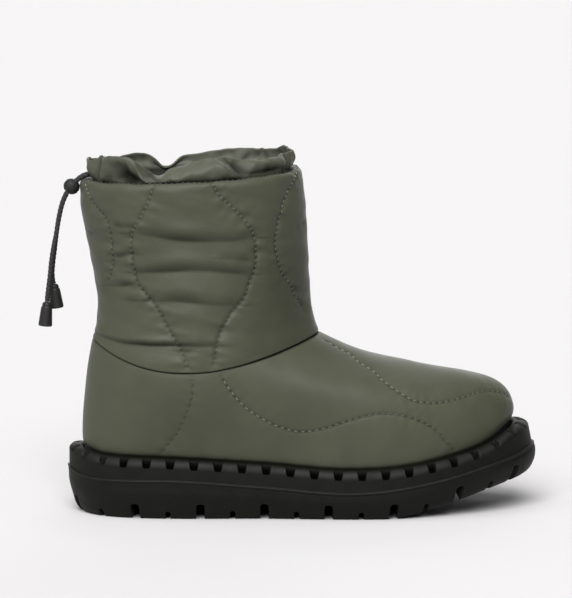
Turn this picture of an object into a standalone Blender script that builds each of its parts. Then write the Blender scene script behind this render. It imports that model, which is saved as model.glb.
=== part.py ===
"""Quilted snow boot, right foot: a hollow padded upper and shaft, a gathered collar with a
drawcord, and a notched welt on a midsole and a lugged outsole.

The toe points to +X, the outer side of the foot to -Y, and the floor is z = 0. The tables are in
millimetres and are turned into metres as the meshes are made.
"""

import math

import bmesh
import bpy
import numpy as np
from mathutils import Matrix, Vector

MM = 0.001
GAP = 0.3  # clearance between pieces that meet
LOOP = 64  # points round each horizontal section, toe tip first, inner side next
UPPER_LEVELS = 9  # rings of the upper from its lower edge to the ankle seam

# Wall and layer sizes
UPPER_WALL = 5.0
SHAFT_WALL = 7.0
COLLAR_WALL = 1.2
INSOLE_THICKNESS = 4.5
WELT_HEIGHT = 5.7
NOTCH_DEPTH = 4.4
NOTCH_WIDTH = 5.7
NOTCH_PITCH = 14.3

# Plan of the upper's lower edge, and what grows from it at each station:
#   reach  how far the sole stands out past the upper
#   rise   share of the way up to the ankle seam that the wall climbs before it turns in
#   share  share of the way out from the seam that the instep keeps
#   drop   how far the instep falls along that share
#   bulge  how far the wall swells outwards as it climbs
PLAN_COLUMNS = ("x", "y", "reach", "rise", "share", "drop", "bulge")
PLAN = {
    "toe_tip": (127.6, 6.0, 12.8, 0.80, 0.50, 35.0, 1.8),
    "toe_inner": (108.0, 35.0, 10.0, 0.78, 0.48, 30.0, 1.5),
    "ball_inner": (52.0, 47.0, 6.5, 0.60, 0.44, 18.0, 1.5),
    "waist_inner": (-25.0, 37.5, 6.0, 0.42, 0.30, 16.0, 3.0),
    "heel_inner": (-92.0, 35.0, 6.5, 0.36, 0.20, 20.0, 3.0),
    "heel_turn_inner": (-122.0, 22.0, 7.5, 0.36, 0.28, 20.0, 1.5),
    "heel_back": (-131.6, 0.0, 8.8, 0.36, 0.50, 20.0, 0.3),
    "heel_turn_outer": (-122.0, -22.0, 7.5, 0.36, 0.28, 20.0, 1.5),
    "heel_outer": (-92.0, -35.5, 6.5, 0.36, 0.20, 20.0, 3.0),
    "waist_outer": (-25.0, -41.5, 6.0, 0.42, 0.30, 16.0, 3.0),
    "ball_outer": (36.0, -47.0, 6.5, 0.60, 0.44, 18.0, 1.5),
    "toe_outer": (99.0, -31.0, 9.5, 0.78, 0.48, 30.0, 1.5),
}

# Heights of the sole's lines along the boot: tread, line between outsole and midsole, welt top
SOLE_COLUMNS = ("x", "tread", "parting", "welt_top")
SOLE_LINES = {
    "heel_end": (-141.0, 2.0, 28.4, 42.6),
    "heel_turn": (-134.0, 1.1, 25.2, 40.2),
    "heel_corner": (-120.0, 0.0, 23.9, 37.0),
    "heel": (-85.0, 0.0, 24.4, 36.2),
    "waist": (-28.0, 0.6, 20.9, 33.2),
    "ball": (24.0, 0.0, 17.2, 29.6),
    "ball_front": (44.0, 0.0, 18.2, 29.9),
    "toe_break": (80.0, 6.4, 23.7, 34.4),
    "toe_box": (110.0, 14.8, 30.5, 41.8),
    "toe_turn": (127.0, 18.6, 34.5, 50.2),
    "toe_end": (141.0, 21.0, 38.8, 54.6),
}

# Outsole side, from tread to top: how far in from the sole's outline along the boot and at the
# toe, and the share of the height
OUTSOLE_COLUMNS = ("inset", "toe_inset", "share")
OUTSOLE_SIDE = {
    "tread_edge": (-7.0, -5.0, 0.0),
    "tread_bevel": (-5.2, -2.8, 0.07),
    "lower_side": (-2.9, 0.4, 0.32),
    "upper_side": (-0.7, 1.4, 0.62),
    "under_lip": (-0.3, 0.8, 0.86),
    "lip": (0.0, 0.2, 0.93),
    "lip_top": (0.0, 0.0, 1.0),
}
TOE_BLEND = (85.0, 135.0)  # the toe's insets take over between these distances along the boot

# Welt section: share of the way out from the upper to the sole's edge, height below the welt's top
WELT_BLOCK = ((0.0, 0.0), (0.0, -WELT_HEIGHT), (1.0, -WELT_HEIGHT), (1.0, -3.1), (0.70, -0.9), (0.34, 0.0))
WELT_NOTCH = (
    (0.0, -NOTCH_DEPTH),
    (0.0, -WELT_HEIGHT),
    (1.0, -WELT_HEIGHT),
    (0.97, -4.9),
    (0.66, -4.7),
    (0.34, -4.5),
)
WELT_SETBACK = 0.8  # the welt and midsole stand this far inside the outsole's lip
TOE_SETBACK = 2.6  # and this much further at the toe

# Tread slots on each side, one tall and one short in turn along the boot
SLOT_FIRST_X = -100.7
SLOT_PITCH = 38.0
SLOT_COUNT = 6
TOE_SLOT_X = 121.5
TALL_SLOT = {"width": 4.6, "height": 9.2, "inward": 26.0}
SHORT_SLOT = {"width": 3.0, "height": 4.8, "inward": 11.0}
SLOT_OVERRUN = 9.0  # cutters start this far outside the sole
TREAD_CHANNEL = {"x_back": -92.0, "x_front": 44.0, "width": 14.0, "depth": 2.6}

# Ankle seam, where the shaft is sewn to the upper: mean height, tilt to the front, dip at the
# sides, and how far the dip is drawn to the back
SEAM_HEIGHT = 97.2
SEAM_TILT = 2.9
SEAM_DIP = 8.2
SEAM_SKEW = 1.4

# Shaft top: mean height, tilt to the front, dip at the sides
RIM_HEIGHT = 202.3
RIM_TILT = 3.1
RIM_DIP = 0.5

# Shaft sections from seam to rim: share of the height, back, front, half width, and the power of
# the front half's curve, which is more pointed at the seam
SHAFT_COLUMNS = ("height", "back", "front", "half_width", "front_power")
SHAFT_SECTIONS = {
    "seam": (0.00, -125.3, 10.0, 47.5, 1.85),
    "roll": (0.05, -123.5, 7.8, 48.2, 1.87),
    "ankle": (0.13, -122.2, 5.7, 47.4, 1.92),
    "narrow": (0.24, -121.9, 4.6, 46.2, 2.00),
    "calf": (0.42, -124.6, 3.6, 46.4, 2.12),
    "flare": (0.63, -128.3, 2.5, 48.0, 2.20),
    "cuff": (0.83, -131.4, 1.7, 49.8, 2.20),
    "rim_outer": (0.955, -132.1, 0.5, 49.6, 2.20),
}
SHAFT_LEVELS = (0.0, 0.05, 0.13, 0.24, 0.42, 0.63, 0.83, 0.955)  # rings up the outside
SHAFT_INNER_LEVELS = (0.955, 0.63, 0.24, 0.0)  # rings down the inside
SECTION_POWER = 2.2  # of the back half: 2 is an ellipse, and more is squarer
RIM_ROLL = ((1.2, 0.985), (3.2, 1.0), (5.4, 0.99))  # padded rim: inset, share of the height

# Gathered collar at each fold: angle from the front through the inner side, height above the
# shaft's rim, and how far it leans in
COLLAR_COLUMNS = ("angle", "rise", "lean")
COLLAR_FOLDS = {
    "front_knob": (0.0, 9.5, -1.0),
    "front_inner": (12.0, 9.2, 0.0),
    "inner_hollow": (30.0, 7.0, 0.5),
    "inner_front": (52.0, 8.6, 0.5),
    "inner_mid": (68.0, 6.7, 0.8),
    "inner_crest": (86.0, 6.4, 1.0),
    "inner_slope": (95.0, 2.8, 2.0),
    "inner_dip": (103.0, 0.3, 4.0),
    "inner_turn": (110.0, 3.5, 2.0),
    "inner_back": (120.0, 7.5, 1.0),
    "back_inner": (148.0, 8.0, 1.0),
    "back": (180.0, 11.3, -3.6),
    "back_flap": (188.0, 11.0, -2.0),
    "back_outer": (197.0, 13.7, 0.5),
    "outer_back": (212.0, 15.2, 1.0),
    "outer_hump": (226.0, 15.1, 1.5),
    "outer_turn": (236.0, 12.4, 4.0),
    "outer_slope": (242.0, 6.1, 7.0),
    "outer_dip": (247.0, 2.8, 8.0),
    "outer_rise": (258.0, 6.3, 7.6),
    "outer_mid": (270.0, 9.6, 7.0),
    "outer_crest": (285.0, 12.5, 5.5),
    "outer_front": (298.0, 10.0, 5.2),
    "front_outer": (320.0, 8.3, 4.5),
    "front_hollow": (338.0, 7.0, 3.5),
    "knob_side": (350.0, 8.4, 0.5),
}
COLLAR_DEPTH = 9.0  # how far the collar reaches down inside the shaft
COLLAR_LOOP = 72
COLLAR_LEVELS = (0.0, 0.35, 0.7, 1.0)  # shares of the rise
PLEATS = 18
PLEAT_DEPTH = 0.9

# Drawcord: two strands over the shaft's rim, through the lock and down behind the heel
CORD_DIAMETER = 3.0
CORD_SPREAD = 1.7  # each strand's distance from the middle plane inside the lock
LOCK_DIAMETER = 9.8
LOCK_CENTRE = (-137.3, 0.0, 194.8)
LOCK_AXIS_DEG = 50.0  # the strands run down and back through the lock at this slope
LOCK_CLEARANCE = 0.3
CORD_ROUTES = {
    "drawcord_long": (
        (-125.3, -1.7, 202.2),
        (-128.6, -1.7, 201.8),
        (-131.8, -1.7, 200.3),
        (-134.4, -1.7, 198.2),
        (-137.3, -1.7, 194.8),
        (-140.2, -1.7, 190.9),
        (-142.8, -1.7, 185.0),
        (-144.8, -1.8, 177.0),
        (-146.6, -2.1, 167.0),
        (-148.6, -2.5, 157.0),
        (-149.8, -2.8, 149.0),
        (-150.5, -3.0, 142.0),
        (-151.6, -3.2, 133.5),
        (-152.2, -3.3, 128.8),
        (-152.3, -3.3, 126.3),
    ),
    "drawcord_short": (
        (-125.3, 1.7, 202.2),
        (-128.6, 1.7, 201.8),
        (-131.8, 1.7, 200.3),
        (-134.4, 1.7, 198.2),
        (-137.3, 1.7, 194.8),
        (-140.2, 1.7, 190.9),
        (-142.8, 1.7, 185.0),
        (-144.8, 1.8, 177.0),
        (-146.4, 2.1, 167.0),
        (-147.6, 2.5, 157.0),
        (-148.6, 2.8, 149.0),
        (-149.1, 3.0, 142.5),
        (-148.9, 3.1, 139.0),
        (-148.3, 3.1, 136.2),
    ),
}
CORD_STEP = 6.0
# Moulded cord end: radius at each depth below its top face
CORD_END_PROFILE = ((0.0, 2.0), (1.0, 2.7), (4.0, 3.3), (13.8, 4.1), (14.5, 3.8))
CORD_END_SIDES = 16

COLOURS = {
    "nylon": ((0.096, 0.104, 0.074), 0.62),
    "collar_nylon": ((0.110, 0.115, 0.085), 0.55),
    "rubber": ((0.017, 0.018, 0.016), 0.60),
    "felt": ((0.060, 0.062, 0.055), 0.95),
    "cord": ((0.022, 0.022, 0.022), 0.75),
    "plastic": ((0.034, 0.034, 0.033), 0.50),
}


def table(rows, columns):
    """The table as one array per named column."""
    values = np.array(list(rows.values()), float)
    return {name: values[:, i] for i, name in enumerate(columns)}


def closed_spline(knots, period, values, at):
    """The closed cubic spline through values at the knots, read at the parameters given."""
    count = len(knots)
    spans = np.diff(np.append(knots, knots[0] + period))
    rises = (np.roll(values, -1) - values) / spans
    system = np.zeros((count, count))
    for i in range(count):
        system[i, i - 1] += spans[i - 1]
        system[i, i] += 2 * (spans[i - 1] + spans[i])
        system[i, (i + 1) % count] += spans[i]
    bend = np.linalg.solve(system, 6 * (rises - np.roll(rises, 1)))
    turned = knots[0] + np.mod(at - knots[0], period)
    i = np.clip(np.searchsorted(knots, turned, side="right") - 1, 0, count - 1)
    j = (i + 1) % count
    right = (turned - knots[i]) / spans[i]
    left = 1 - right
    curve = ((left**3 - left) * bend[i] + (right**3 - right) * bend[j]) * spans[i] ** 2 / 6
    return left * values[i] + right * values[j] + curve


def smooth_line(xs, ys, at):
    """A smooth line through the table's points that never swings past them."""
    spans = np.diff(xs)
    rises = np.diff(ys) / spans
    slopes = np.concatenate([[rises[0]], (rises[:-1] + rises[1:]) / 2, [rises[-1]]])
    flat = np.concatenate([[False], rises[:-1] * rises[1:] <= 0, [False]])
    steepest = 3 * np.minimum(np.append(abs(rises), np.inf), np.append(np.inf, abs(rises)))
    slopes = np.where(flat, 0.0, np.sign(slopes) * np.minimum(abs(slopes), steepest))
    at = np.clip(at, xs[0], xs[-1])
    i = np.clip(np.searchsorted(xs, at, side="right") - 1, 0, len(spans) - 1)
    t = (at - xs[i]) / spans[i]
    start = (1 + 2 * t) * (1 - t) ** 2 * ys[i] + t * (1 - t) ** 2 * spans[i] * slopes[i]
    end = t * t * (3 - 2 * t) * ys[i + 1] - t * t * (1 - t) * spans[i] * slopes[i + 1]
    return start + end


def plan_stations(count):
    """Plan columns at count points round the boot, half of them on each side of the foot."""
    columns = table(PLAN, PLAN_COLUMNS)
    steps = np.hypot(np.roll(columns["x"], -1) - columns["x"], np.roll(columns["y"], -1) - columns["y"])
    knots = np.concatenate([[0.0], np.cumsum(steps)[:-1]])
    period = steps.sum()
    heel = knots[list(PLAN).index("heel_back")]
    half = count // 2
    inner = np.linspace(0.0, heel, half, endpoint=False)
    outer = np.linspace(heel, period, half, endpoint=False)
    at = np.concatenate([inner, outer])
    stations = {name: closed_spline(knots, period, values, at) for name, values in columns.items()}
    step = 1e-3 * period
    along = {
        name: closed_spline(knots, period, columns[name], at + step)
        - closed_spline(knots, period, columns[name], at - step)
        for name in ("x", "y")
    }
    length = np.hypot(along["x"], along["y"])
    stations["out_x"] = along["y"] / length
    stations["out_y"] = -along["x"] / length
    return stations


def sole_line(name, x):
    """Height of one of the sole's lines at the given distances along the boot."""
    lines = table(SOLE_LINES, SOLE_COLUMNS)
    return smooth_line(lines["x"], lines[name], x)


def plan_ring(stations, offset, height):
    """A ring the given distance outside the upper's lower edge, at a height worked out from x."""
    x = stations["x"] + offset * stations["out_x"]
    y = stations["y"] + offset * stations["out_y"]
    return np.column_stack([x, y, height(x)])


def section_ring(angles, back, front, half_width, front_power):
    """Plan points of a rounded section between its back, its front and its half width."""
    cos, sin = np.cos(angles), np.sin(angles)
    power = 2 / np.where(cos > 0, front_power, SECTION_POWER)
    x = (front + back) / 2 + (front - back) / 2 * np.sign(cos) * abs(cos) ** power
    y = half_width * np.sign(sin) * abs(sin) ** power
    return x, y


def seam_height(angles):
    """Height of the ankle seam at each angle from the front."""
    level = SEAM_HEIGHT + SEAM_TILT * np.cos(angles)
    return level + SEAM_DIP * np.cos(2 * angles) - SEAM_SKEW * np.cos(3 * angles)


def rim_height(angles):
    """Height of the shaft's rim at each angle from the front."""
    return RIM_HEIGHT + RIM_TILT * np.cos(angles) + RIM_DIP * np.cos(2 * angles)


def seam_angles(stations):
    """The angle on the ankle seam that each point of the plan is drawn up to."""
    seam = SHAFT_SECTIONS["seam"]
    middle = (seam[1] + seam[2]) / 2
    ahead = stations["x"] - middle
    reach = np.where(ahead > 0, stations["x"].max() - middle, middle - stations["x"].min())
    return np.arctan2(stations["y"] / abs(stations["y"]).max(), ahead / reach)


def shaft_ring(angles, level, inset=0.0):
    """A ring of the shaft's outer face at a share of its height, moved in by the inset."""
    rows = table(SHAFT_SECTIONS, SHAFT_COLUMNS)
    back, front, half_width, power = (smooth_line(rows["height"], rows[c], level) for c in SHAFT_COLUMNS[1:])
    x, y = section_ring(angles, back + inset, front - inset, half_width - inset, power)
    z = seam_height(angles) + level * (rim_height(angles) - seam_height(angles))
    return np.column_stack([x, y, z])


def new_object(name, mesh, material, parent):
    """A named object with its own material, under the boot's empty."""
    made = bpy.data.objects.new(name, mesh)
    made.data.materials.append(material)
    made.parent = parent
    bpy.context.scene.collection.objects.link(made)
    return made


def paint(name):
    """A plain surface of the named colour."""
    colour, roughness = COLOURS[name]
    material = bpy.data.materials.new(name)
    material.use_nodes = True
    shader = material.node_tree.nodes["Principled BSDF"]
    shader.inputs["Base Color"].default_value = (*colour, 1.0)
    shader.inputs["Roughness"].default_value = roughness
    return material


def add_rings(bm, rings):
    """The rings' vertices, in metres, one list per ring."""
    return [[bm.verts.new(Vector(point) * MM) for point in ring] for ring in rings]


def join_rings(bm, lower, upper):
    """A band of faces between two rings of equal count."""
    count = len(lower)
    for i in range(count):
        j = (i + 1) % count
        bm.faces.new((lower[i], lower[j], upper[j], upper[i]))


def mesh_from(bm, name, smooth_deg=40.0):
    """The finished mesh, shaded smooth but for its sharp edges."""
    bmesh.ops.recalc_face_normals(bm, faces=bm.faces)
    mesh = bpy.data.meshes.new(name)
    bm.to_mesh(mesh)
    bm.free()
    mesh.shade_smooth()
    mesh.set_sharp_from_angle(angle=math.radians(smooth_deg))
    return mesh


def wall_mesh(name, rings):
    """A hollow wall: up its outer rings, over the top, down its inner rings and closed below."""
    bm = bmesh.new()
    loops = add_rings(bm, rings)
    for lower, upper in zip(loops, loops[1:] + loops[:1]):
        join_rings(bm, lower, upper)
    return mesh_from(bm, name)


def slab_mesh(name, rings):
    """A slab closed by strips that cross it from the inner to the outer side of the foot."""
    bm = bmesh.new()
    loops = add_rings(bm, rings)
    for lower, upper in zip(loops, loops[1:]):
        join_rings(bm, lower, upper)
    for loop in (loops[0], loops[-1]):
        count = len(loop)
        bm.faces.new((loop[1], loop[0], loop[-1]))
        for i in range(1, count // 2 - 1):
            bm.faces.new((loop[i], loop[i + 1], loop[count - i - 1], loop[count - i]))
        middle = count // 2
        bm.faces.new((loop[middle - 1], loop[middle], loop[middle + 1]))
    return mesh_from(bm, name)


def toe_share(x):
    """How far the toe's insets have taken over from those along the boot."""
    return np.clip((x - TOE_BLEND[0]) / (TOE_BLEND[1] - TOE_BLEND[0]), 0.0, 1.0)


def welt_reach(stations):
    """How far out of the upper's edge the welt's and the midsole's sides stand."""
    return stations["reach"] - WELT_SETBACK - TOE_SETBACK * toe_share(stations["x"]) ** 2


def outsole_rings(stations):
    """The outsole's side rings, from its tread to its top."""
    toe = toe_share(stations["x"])
    side = table(OUTSOLE_SIDE, OUTSOLE_COLUMNS)
    rings = []
    for inset, toe_inset, share in zip(side["inset"], side["toe_inset"], side["share"]):
        offset = stations["reach"] + inset + (toe_inset - inset) * toe
        rings.append(plan_ring(stations, offset, lambda x, share=share: outsole_height(x, share)))
    return rings


def outsole_height(x, share):
    """Height at a share of the way from the tread to the outsole's top."""
    tread = sole_line("tread", x)
    return tread + share * (sole_line("parting", x) - tread)


def midsole_rings(stations):
    """The midsole's side, set a little inside the outsole's lip and rounded at its top."""
    edge = welt_reach(stations)
    return [
        plan_ring(stations, edge - 0.4, lambda x: midsole_height(x, 0.0)),
        plan_ring(stations, edge + 0.2, lambda x: midsole_height(x, 0.5)),
        plan_ring(stations, edge, lambda x: midsole_height(x, 1.0)),
    ]


def midsole_height(x, share):
    """Height at a share of the way from the midsole's underside to its top."""
    base = sole_line("parting", x) + GAP
    top = sole_line("welt_top", x) - WELT_HEIGHT - GAP
    return base + share * (top - base)


def insole_rings(stations):
    """The insole, inside the upper's wall and on the midsole."""
    edge = -UPPER_WALL - 2 * GAP
    base = WELT_HEIGHT - GAP
    return [
        plan_ring(stations, edge, lambda x: sole_line("welt_top", x) - base),
        plan_ring(stations, edge, lambda x: sole_line("welt_top", x) - base + INSOLE_THICKNESS - 1.0),
        plan_ring(stations, edge - 1.0, lambda x: sole_line("welt_top", x) - base + INSOLE_THICKNESS),
    ]


def upper_rings(stations):
    """The upper's outer face: a skirt behind the welt, then a curve from each point of its edge
    up and over to the ankle seam, each one a Bezier of four points."""
    foot = plan_ring(stations, 0.0, lambda x: sole_line("welt_top", x))
    skirt = foot - [0.0, 0.0, WELT_HEIGHT - GAP]
    angles = seam_angles(stations)
    seam = shaft_ring(angles, 0.0)
    climb = (seam[:, 2] - foot[:, 2]) * stations["rise"]
    outward = np.column_stack([stations["out_x"], stations["out_y"], np.zeros(LOOP)])
    swell = outward * stations["bulge"][:, None]
    first = foot + swell + np.column_stack([np.zeros((LOOP, 2)), climb])
    across = (foot - seam) * [1.0, 1.0, 0.0]
    second = seam + across * stations["share"][:, None] + swell
    second[:, 2] -= stations["drop"]
    rings = [skirt]
    for t in np.linspace(0.0, 1.0, UPPER_LEVELS):
        lower = (1 - t) ** 3 * foot + 3 * (1 - t) ** 2 * t * first
        rings.append(lower + 3 * (1 - t) * t * t * second + t**3 * seam)
    return rings


def build_upper(stations, parent):
    """The padded foot of the boot, an open shell given its wall inwards."""
    bm = bmesh.new()
    loops = add_rings(bm, upper_rings(stations))
    for lower, upper in zip(loops, loops[1:]):
        join_rings(bm, lower, upper)
    made = new_object("upper", mesh_from(bm, "upper"), paint("nylon"), parent)
    wall = made.modifiers.new("padded wall", "SOLIDIFY")
    wall.thickness = UPPER_WALL * MM
    wall.offset = -1.0
    wall.use_even_offset = True


def build_shaft(stations, parent):
    """The padded shaft: a tube with a rolled rim, standing on the ankle seam."""
    angles = seam_angles(stations)
    lift = [0.0, 0.0, GAP]
    outer = [shaft_ring(angles, level) + lift for level in SHAFT_LEVELS]
    rim = [shaft_ring(angles, level, inset) for inset, level in RIM_ROLL]
    inner = [shaft_ring(angles, level, SHAFT_WALL) + lift for level in SHAFT_INNER_LEVELS]
    new_object("shaft", wall_mesh("shaft", outer + rim + inner), paint("nylon"), parent)


def collar_ring(angles, level, inset):
    """A ring of the collar: level -1 is its hidden lower edge, 0 the rim and 1 its gathered top."""
    folds = table(COLLAR_FOLDS, COLLAR_COLUMNS)
    knots = np.radians(folds["angle"])
    rise, lean = (closed_spline(knots, 2 * math.pi, folds[c], angles) for c in COLLAR_COLUMNS[1:])
    up = max(level, 0.0)
    below = max(-level, 0.0)
    pleat = PLEAT_DEPTH * up * np.cos(PLEATS * angles)
    leaning = SHAFT_WALL + (2 + 2 * below) * GAP + inset + lean * up**1.5 + pleat
    _, back, front, half_width, power = SHAFT_SECTIONS["rim_outer"]
    x, y = section_ring(angles, back + leaning, front - leaning, half_width - leaning, power)
    z = rim_height(angles) + rise * up - COLLAR_DEPTH * below
    return np.column_stack([x, y, z])


def build_collar(parent):
    """The gathered collar: one thin wall that comes up out of the shaft in folds."""
    angles = np.linspace(0.0, 2 * math.pi, COLLAR_LOOP, endpoint=False)
    outer = [collar_ring(angles, level, 0.0) for level in (-1.0, *COLLAR_LEVELS)]
    inner = [collar_ring(angles, level, COLLAR_WALL) for level in (*reversed(COLLAR_LEVELS), -1.0)]
    new_object("collar", wall_mesh("collar", outer + inner), paint("collar_nylon"), parent)


def build_welt(parent):
    """The welt: a ring round the upper's base, its top cut into blocks by even notches."""
    fine = plan_stations(LOOP * 8)
    edge_x = fine["x"] + fine["reach"] * fine["out_x"]
    edge_y = fine["y"] + fine["reach"] * fine["out_y"]
    steps = np.hypot(np.roll(edge_x, -1) - edge_x, np.roll(edge_y, -1) - edge_y)
    along = np.concatenate([[0.0], np.cumsum(steps)])
    count = round(along[-1] / NOTCH_PITCH)
    pitch = along[-1] / count
    slope = 0.5  # the notch's walls lean this much over their depth
    marks = (
        (0.5 * (pitch - NOTCH_WIDTH), WELT_BLOCK),
        (0.5 * (pitch - NOTCH_WIDTH) + slope, WELT_NOTCH),
        (0.5 * (pitch + NOTCH_WIDTH) - slope, WELT_NOTCH),
        (0.5 * (pitch + NOTCH_WIDTH), WELT_BLOCK),
    )
    bm = bmesh.new()
    sections = []
    for notch in range(count):
        for offset, section in marks:
            at = notch * pitch + offset
            here = {name: np.interp(at, along, np.append(v, v[0])) for name, v in fine.items()}
            width = welt_reach(here) - GAP
            points = []
            for share, below in section:
                out = GAP + share * width
                x = here["x"] + out * here["out_x"]
                y = here["y"] + out * here["out_y"]
                points.append((x, y, float(sole_line("welt_top", np.array([x]))[0]) + below))
            sections.append(points)
    loops = add_rings(bm, sections)
    for here, ahead in zip(loops, loops[1:] + loops[:1]):
        join_rings(bm, here, ahead)
    new_object("welt", mesh_from(bm, "welt", 30.0), paint("rubber"), parent)


def add_slot(bm, place, outward, floor, slot):
    """A cutter for one tread slot: an arched prism that runs in from the sole's side."""
    half = slot["width"] / 2
    turn = np.linspace(0, math.pi, 5)
    arch = [(half * math.cos(a), slot["height"] - half + half * math.sin(a)) for a in turn]
    outline = [(half, -SLOT_OVERRUN), *arch, (-half, -SLOT_OVERRUN)]
    across = Vector((-outward.y, outward.x, 0.0))
    ends = []
    for reach in (SLOT_OVERRUN, -slot["inward"]):
        start = place + outward * reach + Vector((0.0, 0.0, floor))
        ends.append([bm.verts.new((start + across * u + Vector((0.0, 0.0, v))) * MM) for u, v in outline])
    join_rings(bm, ends[0], ends[1])
    bm.faces.new(ends[0])
    bm.faces.new(list(reversed(ends[1])))


def slot_places():
    """Where each tread slot starts: a plan point on the tread's edge, its outward way, its kind."""
    fine = plan_stations(LOOP * 8)
    edge = fine["reach"] + OUTSOLE_SIDE["tread_edge"][0]
    x = fine["x"] + edge * fine["out_x"]
    y = fine["y"] + edge * fine["out_y"]
    heel = len(x) // 2
    targets = [(SLOT_FIRST_X + (step - 1) * SLOT_PITCH / 2, step % 2) for step in range(2 * SLOT_COUNT + 1)]
    targets.append((TOE_SLOT_X, 1))
    picked = [(heel, TALL_SLOT)]
    for first, last in ((0, heel), (heel, len(x))):
        for target, tall in targets:
            nearest = first + int(np.argmin(abs(x[first:last] - target)))
            picked.append((nearest, TALL_SLOT if tall else SHORT_SLOT))
    return [(x[i], y[i], fine["out_x"][i], fine["out_y"][i], kind) for i, kind in picked]


def build_tread_cutter(parent):
    """The hidden cutter for the tread: the side slots and the channel along the middle."""
    bm = bmesh.new()
    for x, y, out_x, out_y, slot in slot_places():
        floor = float(sole_line("tread", np.array([x]))[0])
        add_slot(bm, Vector((x, y, 0.0)), Vector((out_x, out_y, 0.0)), floor, slot)
    cutter = new_object("tread_cutter", mesh_from(bm, "tread_cutter"), paint("rubber"), parent)
    cutter.hide_render = True
    cutter.display_type = "WIRE"
    return cutter


def build_channel_cutter(parent):
    """The hidden cutter for the shallow channel along the middle of the tread."""
    bm = bmesh.new()
    bmesh.ops.create_cube(bm, size=1.0)
    channel = TREAD_CHANNEL
    size = (channel["x_front"] - channel["x_back"], channel["width"], 2 * channel["depth"])
    middle = ((channel["x_front"] + channel["x_back"]) / 2, 0.0, 0.0)
    bmesh.ops.scale(bm, vec=Vector(size) * MM, verts=bm.verts)
    bmesh.ops.translate(bm, vec=Vector(middle) * MM, verts=bm.verts)
    cutter = new_object("channel_cutter", mesh_from(bm, "channel_cutter"), paint("rubber"), parent)
    cutter.hide_render = True
    cutter.display_type = "WIRE"
    return cutter


def build_sole(stations, parent):
    """Outsole with its lugs, midsole and insole."""
    outsole = new_object("outsole", slab_mesh("outsole", outsole_rings(stations)), paint("rubber"), parent)
    for cutter in (build_tread_cutter(parent), build_channel_cutter(parent)):
        cut = outsole.modifiers.new(cutter.name, "BOOLEAN")
        cut.operation = "DIFFERENCE"
        cut.object = cutter
    new_object("midsole", slab_mesh("midsole", midsole_rings(stations)), paint("rubber"), parent)
    new_object("insole", slab_mesh("insole", insole_rings(stations)), paint("felt"), parent)


def smooth_route(points):
    """Points about a cord step apart on the smooth curve through the route's own points."""
    route = np.array(points, float)
    chords = np.concatenate([[0.0], np.cumsum(np.linalg.norm(np.diff(route, axis=0), axis=1))])
    at = np.linspace(0.0, chords[-1], int(chords[-1] / CORD_STEP) + 1)
    slopes = np.gradient(route, chords, axis=0)
    i = np.clip(np.searchsorted(chords, at, side="right") - 1, 0, len(chords) - 2)
    span = (chords[i + 1] - chords[i])[:, None]
    t = ((at - chords[i]) / (chords[i + 1] - chords[i]))[:, None]
    start = (1 + 2 * t) * (1 - t) ** 2 * route[i] + t * (1 - t) ** 2 * span * slopes[i]
    end = t * t * (3 - 2 * t) * route[i + 1] - t * t * (1 - t) * span * slopes[i + 1]
    return start + end


def build_cord(name, points, parent):
    """One strand of the drawcord, a round tube with closed ends."""
    path = smooth_route(points)
    curve = bpy.data.curves.new(name, "CURVE")
    curve.dimensions = "3D"
    curve.bevel_depth = CORD_DIAMETER / 2 * MM
    curve.bevel_resolution = 2
    curve.use_fill_caps = True
    spline = curve.splines.new("POLY")
    spline.points.add(len(path) - 1)
    for point, place in zip(spline.points, path):
        point.co = (*(place * MM), 1.0)
    new_object(name, curve, paint("cord"), parent)


def build_cord_end(name, points, parent):
    """The moulded end on a strand: a bell turned about the strand's last direction."""
    route = smooth_route(points)
    tip = Vector(route[-1])
    way = (tip - Vector(route[-2])).normalized()
    turn = way.to_track_quat("Z", "Y").to_matrix().to_4x4()
    bm = bmesh.new()
    rings = []
    for depth, radius in CORD_END_PROFILE:
        angles = np.linspace(0, 2 * math.pi, CORD_END_SIDES, endpoint=False)
        rings.append([(radius * math.cos(a), radius * math.sin(a), depth + GAP) for a in angles])
    loops = add_rings(bm, rings)
    for lower, upper in zip(loops, loops[1:]):
        join_rings(bm, lower, upper)
    bm.faces.new(loops[0])
    bm.faces.new(list(reversed(loops[-1])))
    made = new_object(name, mesh_from(bm, name), paint("plastic"), parent)
    made.matrix_local = Matrix.Translation(tip * MM) @ turn


def build_lock(parent):
    """The ball-shaped cord lock, with one slot that both strands run through."""
    slope = Matrix.Rotation(math.radians(90 - LOCK_AXIS_DEG), 4, "Y")
    place = Matrix.Translation(Vector(LOCK_CENTRE) * MM) @ slope
    bm = bmesh.new()
    bmesh.ops.create_uvsphere(bm, u_segments=18, v_segments=10, radius=LOCK_DIAMETER / 2 * MM)
    lock = new_object("cord_lock", mesh_from(bm, "cord_lock"), paint("plastic"), parent)
    lock.matrix_local = place
    radius = CORD_DIAMETER / 2 + LOCK_CLEARANCE
    right = [(radius * math.cos(a), CORD_SPREAD + radius * math.sin(a)) for a in np.linspace(0, math.pi, 7)]
    outline = right + [(-x, -y) for x, y in right]
    bm = bmesh.new()
    loops = add_rings(bm, [[(x, y, z) for x, y in outline] for z in (-LOCK_DIAMETER, LOCK_DIAMETER)])
    join_rings(bm, *loops)
    bm.faces.new(list(reversed(loops[0])))
    bm.faces.new(loops[1])
    slot = new_object("lock_slot_cutter", mesh_from(bm, "lock_slot_cutter"), paint("plastic"), parent)
    slot.matrix_local = place
    slot.hide_render = True
    slot.display_type = "WIRE"
    cut = lock.modifiers.new("cord slot", "BOOLEAN")
    cut.operation = "DIFFERENCE"
    cut.object = slot


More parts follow.
